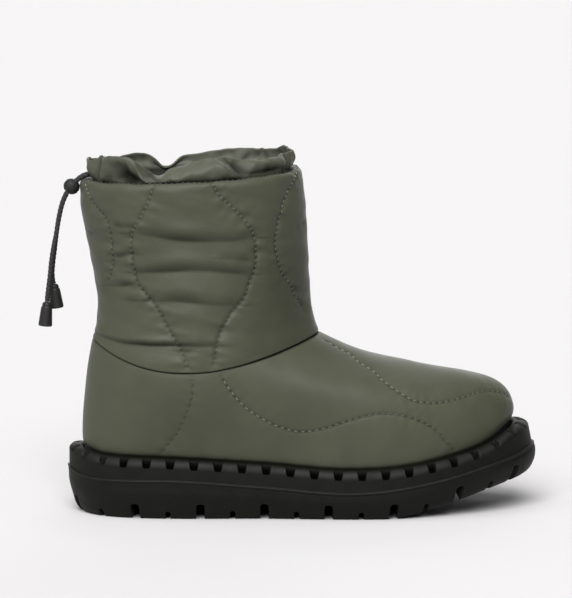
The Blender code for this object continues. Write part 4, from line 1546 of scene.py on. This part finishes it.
    def slots(self) -> list[tuple[float, Three]]:
        """The plan parameter and sizes of each tread slot, tall and short in turn on both sides."""
        at = self.form.even(4000)
        edge_x = self.inside_edge(at, -self.side[0][1])[:, 0]
        steps = range(self.slot_count)
        targets = [(self.slot_first + (step - 1) * self.slot_pitch / 2, step % 2) for step in steps]
        targets.append((self.toe_slot, 1))
        found = [(self.form.heel + off, self.tall) for off in (-self.heel_slots, self.heel_slots)]
        half = len(at) // 2
        for first in (0, half):
            for target, tall in targets:
                nearest = first + int(abs(edge_x[first : first + half] - target).argmin())
                found.append((at[nearest], self.tall if tall else self.short))
        return found

    def slot_columns(self) -> tuple[Array, Array, Array, Array]:
        """Plan parameters with lines on every slot's edges, and the slot at each.

        Returns:
            The parameters, whether each is in a slot, the slot's height there, and its reach inwards.
        """
        slots, period = self.slots(), self.form.period
        base = np.arange(0.0, period, 1.7)
        marks = np.array([-1.45, -1.12, -1.0, -0.92, -0.75, -0.45, 0.0, 0.45, 0.75, 0.92, 1.0, 1.12, 1.45])
        columns = []
        for at, (half, _, _) in slots:
            stretch = np.linalg.norm(self.inside_edge(at + 1.0, 6.0) - self.inside_edge(at - 1.0, 6.0)) / 2
            away = abs((base - at + period / 2) % period - period / 2)
            base = base[away > 1.9 * half / stretch]
            columns.append(at + marks * half / stretch)
        at = np.concatenate([base, *columns])
        inside, height, reach = np.zeros(len(at)), np.full(len(at), 3.4), np.zeros(len(at))
        start = len(base)
        for _, (half, tall, inward) in slots:
            turn = np.clip((np.minimum(abs(marks), 1.0) * half - half) / self.slot_corner + 1, 0.0, 1.0)
            arch = tall - self.slot_corner * (1 - np.sqrt(1 - turn**2))
            part = slice(start, start + len(marks))
            inside[part], height[part], reach[part] = abs(marks) <= 1.0, arch, inward
            start += len(marks)
        order = np.argsort(at % period)
        return at[order], inside[order], height[order], reach[order]

    def outsole(self) -> None:
        """The outsole: side rows over arched slots, whose ceilings run in, and a tread of lugs with a
        ring groove and a middle channel."""
        at, inside, arch, reach = self.slot_columns()
        stations = self.form.stations(at)
        x_edge = stations.edge(stations.reach)[:, 0]
        tall = self.form.sole_line(PARTING, x_edge) - self.form.sole_line(TREAD, x_edge)
        low = np.array([0.0, 0.12, 0.4, 0.75, 1.0])[:, None] * arch
        climb = 1 - (1 - np.linspace(0.0, 1.0, 30)[:, None]) ** 1.7
        high = arch + 0.15 + climb * (tall - arch - 0.15)
        heights = np.concatenate([low, high])
        shares, below = heights / tall, tall - heights
        bead = 0.2 * hump(below - 0.9, 0.6) - 0.25 * hump(below - 2.2, 0.5)
        bead -= 0.85 * (1 - ease(0.0, 0.8, below))
        offsets = self.side_offsets(stations, shares) + bead
        recess = np.concatenate([(1 - low / arch) * self.recess, np.zeros_like(high)]) * inside
        level = np.where(inside[None] * (heights <= arch[None]) > 0, arch[None], heights)
        side = []
        for offset, above in zip(offsets - recess, level):
            plan = stations.edge(offset)
            base = self.form.sole_line(TREAD, plan[:, 0])
            rise = self.form.sole_line(PARTING, plan[:, 0]) - base
            side.append(np.column_stack([plan, base + above / tall * rise]))
        side = np.array(side)
        tread = self.tread(stations.edge(offsets[0]), inside, arch, reach)
        top_plan = stations.edge(offsets[-1])
        top = [self.lifted(self.drawn_in(top_plan, share), PARTING, 0.0) for share in (0.06, 1.0)]
        grid = np.concatenate([tread[::-1], side, np.array(top)])
        rows = len(tread)
        edge = np.zeros(grid.shape[:2])
        # painted highlight: the lip's line below the parting is marked lighter; the tread is marked lighter
        # as wear
        edge[rows : rows + len(side)] = 0.8 * hump(below - 0.7, 0.6)
        edge[:rows] = 0.35
        shell = Surface(grid, values={"edge": edge}, merge=True)
        add_piece("outsole_lugged", shell, self.form, [RUBBER], ["outsole"])

    def tread(self, edge: Array, inside: Array, arch: Array, reach: Array) -> Array:
        """The tread from its edge to the middle: rows a set way in, raised in slots, groove and channel.

        Args:
            edge: Plan points of the tread's edge.
            inside: 1 in a slot's columns.
            arch: The slot's height there.
            reach: How far it runs in.

        Returns:
            The rows, edge first.
        """
        middle = self.spine(edge)
        width = np.linalg.norm(middle - edge, axis=1)
        inward = unit(middle - edge)
        steps = (1.5, 3.0, 5.0, 7.0, 9.0, 11.0, 11.6, 12.0, 12.4, 15.0, 15.4, 18.0, 22.0, 26.0, 26.5)
        ways = [np.full(len(edge), step) for step in steps]
        back, front, half, depth = self.channel
        ways += [26.5 + (width - half - 26.9) * s for s in (0.33, 0.66, 1.0)]
        ways += [width - half, width - half * 0.5, width]
        rows = []
        in_channel = ease(back - 4, back, edge[:, 0]) * (1 - ease(front, front + 4, edge[:, 0]))
        for way in ways:
            way = np.maximum(np.minimum(way, width), np.where(inside > 0, self.recess, 0.0))
            plan = edge + inward * way[:, None]
            plan = np.where((way >= width - 1e-6)[:, None], middle, plan)
            slot = np.where((inside > 0) & (way <= reach + 0.1), arch, 0.0)
            ring = 2.4 * ((way > 12.3) & (way < 15.1))
            deep = depth * in_channel * (way >= width - half - 1e-6)
            rows.append(self.lifted(plan, TREAD, np.maximum(np.maximum(slot, ring), deep)))
        return np.array(rows)

    def slab(self, stations: Stations, rows: Sequence[tuple[Array, int, Array | float]]) -> Array:
        """A slab: side rows between a bottom and a top that both close on the sole's middle.

        Args:
            stations: Points round the boot.
            rows: Each row's offset from the upper's edge, its sole line and its height above that.

        Returns:
            The grid.
        """
        side = [self.lifted(stations.edge(offset), column, above) for offset, column, above in rows]
        ends = []
        for ring, (_, column, above) in ((side[0], rows[0]), (side[-1], rows[-1])):
            plan = ring[:, :2]
            rings = [self.drawn_in(plan, share) for share in (0.2, 0.5, 1.0)]
            ends.append([self.lifted(inner, column, above) for inner in rings])
        return np.array(ends[0][::-1] + side + ends[1])

    def midsole(self) -> None:
        """The midsole band: a plain side, flush with the welt, with a close row at each end so that its
        shading stays flat."""
        stations = self.form.stations(self.form.even(720))
        x = stations.edge(self.welt_reach(stations, 0.3))[:, 0]
        top = self.form.sole_line(WELT_TOP, x) - self.welt_height
        tall = top - self.form.sole_line(PARTING, x) - 2 * TOUCH
        shares = np.array([0.0, 0.012, 0.1, 0.3, 0.5, 0.7, 0.9, 0.988, 1.0])
        rows = [(self.welt_reach(stations, 0.6 * share), PARTING, TOUCH + share * tall) for share in shares]
        grid = self.slab(stations, rows)
        shell = Surface(grid, values={"edge": np.zeros(grid.shape[:2])}, merge=True)
        add_piece("midsole_band", shell, self.form, [RUBBER], ["midsole"])

    def welt(self) -> None:
        """The welt: a chamfered block section and a scooped notch section carried round the boot, mixed
        by a smooth step that is 1 in each notch and narrows from its top to its floor."""
        fine = self.form.even(4096)
        stations = self.form.stations(fine)
        outer = stations.edge(stations.reach)
        lengths = arc_lengths(np.concatenate([outer, outer[:1]]))
        count = round(lengths[-1] / self.notch_pitch)
        pitch = lengths[-1] / count
        mouth, narrow = self.notch_half
        walls, tops = np.linspace(narrow - 0.4, mouth + 0.5, 10), np.linspace(mouth + 1.0, pitch / 2, 4)
        offs = np.concatenate([[0.0, 0.9, 1.5], walls, tops])
        offs = np.concatenate([-offs[:0:-1], offs[:-1]])
        centres = np.arange(count) * pitch + pitch / 2
        shift, away, fade = self.toe_shift
        centres += shift * hump(lengths[-1] - centres - away, fade) - shift * hump(centres - away, fade)
        places = (centres[:, None] + offs[None]).ravel()
        off = abs(np.tile(offs, count))
        at = np.interp(np.mod(places, lengths[-1]), lengths, np.append(fine, self.form.period))
        here = self.form.stations(at)
        table = np.array(self.welt_sections)
        block, scoop = table[:, :2], table[:, 2:4]
        width = self.welt_reach(here, 1.0 + 0.4 * block[:, 1:] / self.welt_height) - GAP
        half = (mouth + (narrow - mouth) * np.clip(-scoop[:, 1] / self.welt_height, 0.0, 1.0))[:, None]
        ends = np.maximum(ease(80.0, 118.0, here.columns[0]), 1 - ease(-124.0, -108.0, here.columns[0]))
        notch = (1 - ease(-0.7, 0.7, off[None] - half)) * (1 - 0.6 * ends)
        section = block[:, None] * (1 - notch)[..., None] + scoop[:, None] * notch[..., None]
        rows = [
            self.lifted(here.edge(GAP + share * wide), WELT_TOP, below)
            for share, wide, below in zip(section[..., 0], width, section[..., 1])
        ]
        # painted highlight: the blocks' chamfers are marked lighter
        edge = (1 - notch) * table[:, 4:]
        # painted shade: the notches are darkened
        groove = 0.85 * notch * np.minimum(1.6 * table[:, 4:], 1.0)
        shell = Surface(np.array(rows), wrap_rows=True, values={"edge": edge, "groove": groove})
        add_piece("welt_blocks", shell, self.form, [RUBBER], ["welt"])

    def insole(self) -> None:
        """The felt insole: a thin slab with a rounded edge inside the upper."""
        stations = self.form.stations(self.form.even(360))
        edge, base, thick, corner = -5.6, -self.welt_height + GAP, 4.5, 1.2
        rows = [(edge, WELT_TOP, base)]
        for turn in np.linspace(0.0, math.pi / 2, 6):
            above = base + thick - corner + corner * math.sin(turn)
            rows.append((edge - corner * (1 - math.cos(turn)), WELT_TOP, above))
        slab = Surface(self.slab(stations, rows), merge=True)
        add_piece("insole_felt", slab, self.form, [FELT], ["insole"])


STITCH_SHARE = 0.56  # a stitch's length as a share of the pitch
THREAD_WIDTH = 0.7


def along_path(values: Array, lengths: Array, at: Array) -> Array:
    """A path's values, one row per point, read at the distances along it given."""
    return np.column_stack([np.interp(at, lengths, column) for column in values.T])


def sew(traces: Sequence[Trace], grid: Array, pitch: float) -> Surface:
    """Stitches along lines on a surface: each a short arched capsule from one needle hole to the next.

    Args:
        traces: The lines.
        grid: The surface they lie on now.
        pitch: Spacing of the stitches.

    Returns:
        All the stitches as one surface.
    """
    normals = grid_normals(grid)
    places, ways, ups, tones = [], [], [], []
    for trace in traces:
        points = read_grid(grid, trace.rows, trace.columns)
        lengths = arc_lengths(trace.points)
        at = np.arange(pitch, lengths[-1] - pitch / 2, pitch)
        places.append(along_path(points, lengths, at))
        ways.append(unit(along_path(np.gradient(points, axis=0), lengths, at)))
        ups.append(unit(along_path(read_grid(normals, trace.rows, trace.columns), lengths, at)))
        tones.append(trace.look.thread * (0.25 + 0.75 * hump(at, trace.look.fade)))
    place, way, up = (np.concatenate(part)[:, None, None] for part in (places, ways, ups))
    along = np.linspace(-1.0, 1.0, 7)[:, None]
    girth = THREAD_WIDTH / 2 * np.sqrt(np.maximum(1 - (abs(along) ** 3.5), 0.0))
    angles = once_round(6)
    arch = 0.32 * THREAD_WIDTH * (1 - 1.6 * along**2)
    sideways, upwards = girth * np.cos(angles), girth * np.sin(angles) + arch
    ring = np.cross(up, way) * sideways[..., None] + up * upwards[..., None]
    grid = place + way * (STITCH_SHARE * pitch / 2 * along)[..., None] + ring
    tone = np.broadcast_to(np.concatenate(tones)[:, None, None], grid.shape[:3])
    return Surface(grid, values={"tone": tone}, merge=True)


@dataclass
class Foot:
    """The padded foot of the boot: a smooth quilted shell from the welt to the ankle seam.

    Attributes:
        form: The boot's form.
        columns: Points round the foot.
        levels: Rows from the welt to the seam.
        wall: Thickness of the padding.
        tuck: How far it goes down behind the welt.
        relief: How its stitch lines draw the padding in.
    """

    form: BootForm
    columns: int = 600
    levels: int = 122
    wall: float = 5.0
    tuck: float = 5.4
    relief: QuiltRelief = QuiltRelief(0.28, 1.2, 0.55, 7.0, 0.13, 7.5, 0.2, 4.1)

    def face(self) -> Array:
        """The smooth outer face: from each edge point a Bezier of four points climbs, swells and turns in
        to the ankle seam.

        Returns:
            The grid, levels by columns by three.
        """
        stations = self.form.stations(self.form.even(self.columns))
        plan = stations.edge(0.0)
        foot = np.column_stack([plan, self.form.sole_line(WELT_TOP, plan[:, 0])])
        _, _, _, rise, share, drop, bulge = stations.columns
        none = np.zeros(self.columns)
        seam = self.form.shaft_points(self.form.seam_angles(stations), none, none)
        swell = np.column_stack([stations.outward * bulge[:, None], none])
        first = foot + swell
        first[:, 2] += (seam[:, 2] - foot[:, 2]) * rise
        second = seam + (foot - seam) * [1.0, 1.0, 0.0] * share[:, None] + swell
        second[:, 2] -= drop
        t = np.linspace(0.0, 1.0, self.levels)[:, None, None]
        low = (1 - t) ** 3 * foot + 3 * (1 - t) ** 2 * t * first
        return low + 3 * (1 - t) * t * t * second + t**3 * seam

    def build(self) -> None:
        """Quilts the face, gives it a lined wall and sews its lines."""
        face = self.face()
        normals = grid_normals(face)
        traces, near, along, shade = lay_lines(face, FOOT_LINES)
        height = self.relief.height(near, along)
        steps = np.linalg.norm(np.diff(face, axis=0), axis=2)
        to_welt = np.concatenate([np.zeros((1, self.columns)), steps.cumsum(axis=0)])
        to_seam = to_welt[-1] - to_welt
        height += 0.25 * ripple(face, 46.0, 11) + 0.10 * ripple(face, 19.0, 12)
        height -= 0.5 * np.exp(-to_seam / 1.2) + 0.2 * np.exp(-to_seam / 9.0)
        height -= 1.3 * np.exp(-to_welt / 4.0) + 0.8 * np.exp(-to_welt / 1.2)
        toe_cap = 1.3 * ease(104.0, 124.0, face[..., 0]) * (1 - ease(62.0, 82.0, face[..., 2]))
        height += toe_cap * ease(0.0, 9.0, to_welt)
        gather = np.sin(np.arange(self.columns) * TAU / 13.0 + 2.0 * ripple(face[0], 60.0, 13))
        height += 0.14 * gather * np.exp(-to_welt / 6.0)
        outer = face + normals * height[..., None]
        tuck = [0.0, 0.0, self.tuck]
        skirt = outer[:1] - tuck
        inner_rows = np.linspace(self.levels - 1, 0, 14).astype(int)
        inner = face[inner_rows] - normals[inner_rows] * self.wall
        inner[0] = outer[-1] - normals[-1] * 2.4
        floor = inner[-1:] - tuck
        grid = np.concatenate([skirt, outer, inner, floor])
        groove = np.zeros(grid.shape[:2])
        # painted shade: darker at the ankle seam and along the welt where the fabric tucks in
        painted_shade_mask = 0.5 * np.exp(-to_seam / 0.6) + 1.4 * hump(to_welt, 1.5)
        # painted shade: darker low on the toe above the welt
        painted_shade_mask += 0.5 * np.exp(-to_welt / 6.0) * ease(60.0, 115.0, face[..., 0])
        # the stitch lines' painted shade, needle holes and all, adds to it in the groove value
        groove[1 : 1 + self.levels] = np.clip(shade * self.relief.shade(near, along) + painted_shade_mask, 0.0, 1.0)
        shell = lined_wall(grid, groove, self.levels + 1)
        piece = add_piece("upper_quilted", shell, self.form, [FOOT_NYLON, LINING], ["upper"])
        threads = sew(traces, outer, self.relief.stitch)
        add_piece("upper_stitches", threads, self.form, [THREAD])


@dataclass
class Shaft:
    """The padded shaft: a creased, quilted tube with a rolled rim, standing on the ankle seam.

    Attributes:
        form: The boot's form.
        columns: Points round the shaft.
        levels: Rows up its outer face.
        wall: Thickness of the padding.
        hem: Radius of the turned lower edge.
        rim: Share of the height at which the rim starts to roll in.
        tall: Mean height from the seam to the rim.
        hem_rows: Rows round the hem.
        rim_rows: Rows over the rim.
        lining_rows: Rows down the inner face.
        relief: How its stitch lines draw the padding in.
    """

    form: BootForm
    columns: int = 470
    levels: int = 168
    wall: float = 7.0
    hem: float = 0.9
    rim: float = 0.955
    tall: float = 106.0
    hem_rows: int = 6
    rim_rows: int = 16
    lining_rows: int = 17
    relief: QuiltRelief = QuiltRelief(0.7, 1.3, 1.5, 7.5, 0.26, 6.8, 0.35, 3.3)

    def rim_turn(self) -> Array:
        """How far each row of the rim has rolled over, in radians."""
        return np.linspace(0.0, math.pi, self.rim_rows + 1)[1:]

    def profile(self) -> tuple[Array, Array]:
        """The section of the wall: a quarter-round hem, the outer face, a half-round rim and the inner
        face.

        Returns:
            Level and inset of each row.
        """
        hem, rim = np.linspace(-math.pi / 2, 0.0, self.hem_rows), self.rim_turn()
        share = self.hem / self.tall
        level = np.concatenate([
            share * (1 + np.sin(hem)),
            np.linspace(share, self.rim, self.levels)[1:],
            self.rim + (1 - self.rim) * np.sin(rim),
            np.linspace(self.rim, 0.0, self.lining_rows + 1)[1:],
        ])
        inset = np.concatenate([
            self.hem * (1 - np.cos(hem)),
            np.zeros(self.levels - 1),
            self.wall / 2 * (1 - np.cos(rim)),
            np.full(self.lining_rows, self.wall),
        ])
        return level, inset

    def build(self) -> None:
        """Quilts and creases the outer face, lines the inner one and sews the lines."""
        level, inset = self.profile()
        angles = once_round(self.columns)[None]
        smooth = self.form.shaft_points(angles, level[:, None], inset[:, None])
        smooth[..., 2] += GAP * (1 - level[:, None])
        normals = grid_normals(smooth)
        face_rows = self.hem_rows + self.levels - 1
        shown = face_rows + self.rim_rows
        face = smooth[:shown]
        traces, near, along, shade = lay_lines(face, SHAFT_LINES)
        height = self.relief.height(near, along)
        # painted shade of the creases, gathered below
        dark = np.zeros_like(near)
        for crease in SHAFT_CREASES:
            for side in Side:
                path = lay_line(face, crease.points, side, 0.8).points
                fold, shadow = crease_relief(face, path, crease)
                height, dark = height + fold, np.maximum(dark, shadow)
        height += 0.3 * ripple(face, 52.0, 21) + 0.15 * ripple(face * [1.0, 1.0, 2.2], 24.0, 22)
        height += 0.4 * np.exp(-near / 7.0) * ripple(face * [0.6, 0.6, 2.6], 13.0, 23)
        up = np.clip(level[:shown, None], 0.0, 1.0)
        rolled = np.concatenate([np.zeros(face_rows), self.rim_turn()])
        turn_in = ease(0.0, math.pi / 2, rolled)[:, None]
        height *= 1 - 0.75 * turn_in
        height += 0.2 * turn_in * ripple(face, 11.0, 24)
        height *= ease(-0.012, 0.03, up)
        outer = face + normals[:shown] * height[..., None]
        lining = smooth[shown:] - normals[shown:] * (0.5 * ripple(smooth[shown:], 21.0, 25))[..., None]
        grid = np.concatenate([outer, lining])
        groove = np.zeros(grid.shape[:2])
        # painted shade: the creases' lines, and the seam under the hem
        painted_shade_mask = dark + 0.68 * (1 - ease(0.0, 0.010, up))
        ahead, over = (face[..., 0] + 14.0) / 21.0, (face[..., 2] - 134.0) / 32.0
        # painted shade: the front panel darker low down
        painted_shade_mask += 0.28 * np.exp(-(ahead**2) - over**2)  # the front panel darkens low down
        # the stitch lines' painted shade adds to it in the groove value
        groove[:shown] = np.clip(shade * self.relief.shade(near, along) + painted_shade_mask, 0.0, 1.0)
        shell = lined_wall(grid, groove, shown - 3)
        piece = add_piece("shaft_quilted", shell, self.form, [SHAFT_NYLON, LINING], ["shaft"])
        columns = np.linspace(0.0, self.columns, 400)
        rows = np.full(len(columns), face_rows + 6.5)
        rim_line = Trace(rows, columns, read_grid(face, rows, columns))
        threads = sew([*traces, rim_line], outer, self.relief.stitch)
        add_piece("shaft_stitches", threads, self.form, [THREAD])


@dataclass(frozen=True)
class Fold:
    """A ridge or hollow that runs up the collar.

    Attributes:
        top: Its angle in degrees at the collar's top, from the front through the inner side.
        foot: Its angle at the shaft's rim.
        before: How far it reaches on the side of smaller angles, in degrees.
        after: How far it reaches on the other side.
        stand: How far it stands out, or in where negative.
        middle: Share of the height where it is strongest.
        spread: Share of the height over which it fades.
    """

    top: float
    foot: float
    before: float
    after: float
    stand: float
    middle: float = 0.6
    spread: float = 0.6

    def height(self, degrees: Array, up: Array) -> Array:
        """The fold's relief: an exponential of the distance from its slanted line, with a rounded crest,
        times a bell up the collar."""
        line = self.foot + (self.top - self.foot) * up
        across = np.mod(degrees - line + 180.0, 360.0) - 180.0
        reach = np.where(across < 0.0, self.before, self.after)
        crest = np.exp(1.0 - np.sqrt(1.0 + (across / (0.6 * reach)) ** 2))
        return self.stand * crest * hump(up - self.middle, self.spread)


COLLAR_FOLDS = (
    Fold(18, 18, 4, 4, 1), Fold(27, 27, 4, 4, 1), Fold(36, 36, 4, 5, -1.4), Fold(47, 50, 4, 3, 1.8),
    Fold(55, 62, 3, 6, -2), Fold(70, 72, 6, 6, 1.2), Fold(83, 82, 6, 6, -1.2),
    Fold(109, 111, 4, 4, -1.4), Fold(130, 132, 7, 7, 1.2), Fold(146, 146, 6, 6, -1.2),
    Fold(165, 165, 5, 5, 1.2), Fold(186, 186, 3.5, 3.5, 2), Fold(202, 199, 4, 4, -4, 0.3, 0.5),
    Fold(212, 209, 3, 2.5, 2.8, 0.5, 0.7), Fold(224, 232, 9, 9, -6.5, 0.2, 0.38),
    Fold(224, 224, 18, 12, 4.2, 0.95, 0.24), Fold(235, 247.5, 3.5, 2.5, 3.2, 0.5, 0.6),
    Fold(229, 240, 2, 2, 1, 0.6, 0.4), Fold(241, 251, 1.5, 3, -3, 0.6, 0.5),
    Fold(256, 260, 2, 2.5, 0.8, 0.2, 0.35), Fold(268, 268, 13, 13, 1.6, 0.5, 0.4),
    Fold(280, 292, 6, 2.2, 2.8, 0.6, 0.65), Fold(288, 299, 2.2, 7, -3.6, 0.5),
    Fold(306, 310, 4, 4, 1.6, 0.75, 0.4), Fold(322, 322, 13, 15, -4, 0.15, 0.42),
    Fold(317, 317, 12, 12, 2.2, 0.92, 0.26), Fold(334, 334, 5, 5, 1.8, 0.7), Fold(344, 344, 3, 4, -1.8),
    Fold(355, 356, 5, 5, 2.2, 0.7), Fold(7, 8, 4, 4, -1.4),
)


@dataclass
class Collar:
    """The gathered collar: thin nylon doubled over its drawcord, in folds that come up out of the shaft.

    Attributes:
        form: The boot's form.
        columns: Points round the collar.
        rows: Rows up one face.
        depth: How far it reaches down inside the shaft.
        edge: Angle from the front through the inner side, rise above the rim, lean inwards.
        thickness: Thickness of the doubled cloth.
        clear: Distance from the shaft's lining to the middle of the cloth.
        ring: Radius of the ring that its small gathers are read on.
    """

    form: BootForm
    columns: int = 620
    rows: int = 46
    depth: float = 9.0
    edge: Rows = (
        (0, 9.6, -1.6), (12, 10.5, -1.4), (25, 10.1, -1.2), (37, 8.2, -1.8), (52, 8.7, -3),
        (68, 8.6, -3), (86, 7, -2.4), (95, 4.6, 0), (102.5, 0.6, 2), (108.5, 5.4, 0), (117, 8.9, -1),
        (148, 8, -0.5), (180, 11.3, -3.6), (188, 11, -2), (197, 13.7, 0.5), (212, 15.2, 1),
        (226, 15.1, 1.5), (235, 12.9, 4), (240.5, 6.6, 7), (245, 3.4, 8), (257, 7.2, 7.6),
        (269, 10.3, 7), (281, 12.9, 5.5), (295, 10.3, 5.2), (320, 8.3, 4.5), (338, 8.4, 3),
        (350, 9.2, -0.6),
    )
    thickness: float = 1.3
    clear: float = 1.6
    ring: float = 46.0

    def folds(self, up: Array, ridges: bool) -> Array:
        """The relief of the ridges or of the hollows, by share risen and angle."""
        degrees = np.linspace(0.0, 360.0, self.columns, endpoint=False)[None]
        return sum(fold.height(degrees, up) for fold in COLLAR_FOLDS if (fold.stand > 0.0) is ridges)

    def sheet(self) -> Array:
        """The middle of the cloth: it rises from inside the shaft to each fold's height, leans in by the
        power 1.5 of the share risen, puffs out in between, and stands out or in along the folds.

        Returns:
            The grid, rows by columns by three.
        """
        angles = once_round(self.columns)
        table = np.array(self.edge).T
        rise, lean = (closed_spline(np.radians(table[0]), TAU, table[i], angles) for i in (1, 2))
        q = np.linspace(-1.0, 1.0, self.rows)[:, None]
        up, below = np.maximum(q, 0.0), np.maximum(-q, 0.0)
        ring = np.stack([np.cos(angles), np.sin(angles), np.zeros_like(angles)], axis=-1) * self.ring
        gather, fine = ripple(ring, 15.0, 31), ripple(ring, 6.5, 33)
        relief = (self.folds(up, True) + self.folds(up, False)) * ease(-0.15, 0.2, q)
        puff = 2.0 * np.sin(math.pi * up**0.8)
        inset = Shaft.wall + self.clear + 0.6 * below + lean * up**1.5 - puff - relief
        inset = inset + 0.45 * gather * up + 0.35 * fine * hump(q - 0.15, 0.25)
        section = self.form.shaft_points(angles[None], np.full((self.rows, 1), Shaft.rim), inset)
        z = self.form.wave(self.form.rim_wave, angles) + rise * up - self.depth * below
        z = z + 0.25 * gather * up**2 + 0.2 * fine * up**3
        return np.stack([section[..., 0], section[..., 1], z], axis=-1)

    def build(self) -> None:
        """Doubles the cloth: its outer face up, a rolled top, and its inner face down."""
        middle = self.sheet()
        share = np.linspace(-1.0, 1.0, self.rows)[:, None]
        crumple = 0.25 * ripple(middle, 9.0, 34) - 0.5 * abs(ripple(middle, 17.0, 35))
        crumple *= ease(-0.3, 0.3, share)
        middle = middle + grid_normals(middle) * crumple[..., None]
        normals = grid_normals(middle)
        half = self.thickness / 2
        rise = unit(middle[-1] - middle[-2])
        turn = np.linspace(0.0, math.pi, 7)[1:-1, None, None]
        top = middle[-1] + half * (normals[-1] * np.cos(turn) + rise * np.sin(turn))
        grid = np.concatenate([middle + normals * half, top, (middle - normals * half)[::-1]])
        groove = np.zeros(grid.shape[:2])
        # painted shade: darker at the foot, where the collar comes out of the rim
        foot = 0.8 * (1 - ease(-0.05, 0.2, share))
        # painted shade in the hollows of the folds
        hollow = np.maximum(-self.folds(np.maximum(share, 0.0), False), 0.0) / 4.5
        groove[: self.rows] = np.clip(np.maximum(foot, hollow), 0.0, 1.0)
        # the inner face takes the same painted shade, half as dark in the hollows
        groove[-self.rows :] = np.clip(np.maximum(foot, 0.5 * hollow), 0.0, 1.0)[::-1]
        shell = lined_wall(grid, groove, self.rows + 2)
        # painted light: the inner face takes the lighter copy of the nylon
        cloths = [COLLAR_NYLON, COLLAR_INSIDE_PAINTED_LIGHT]
        piece = add_piece("collar_gathered", shell, self.form, cloths, ["collar"])


def main() -> None:
    """Sets the studio, then builds the boot piece by piece."""
    logging.basicConfig(level=logging.INFO, format="%(name)s: %(message)s")
    form = BootForm()
    studio = Studio()
    studio.place_camera()
    Drawcord(form).build()
    studio.light()
    studio.lay_floor()
    Sole(form).build()
    Foot(form).build()
    Shaft(form).build()
    Collar(form).build()


if __name__ == "__main__":
    main()
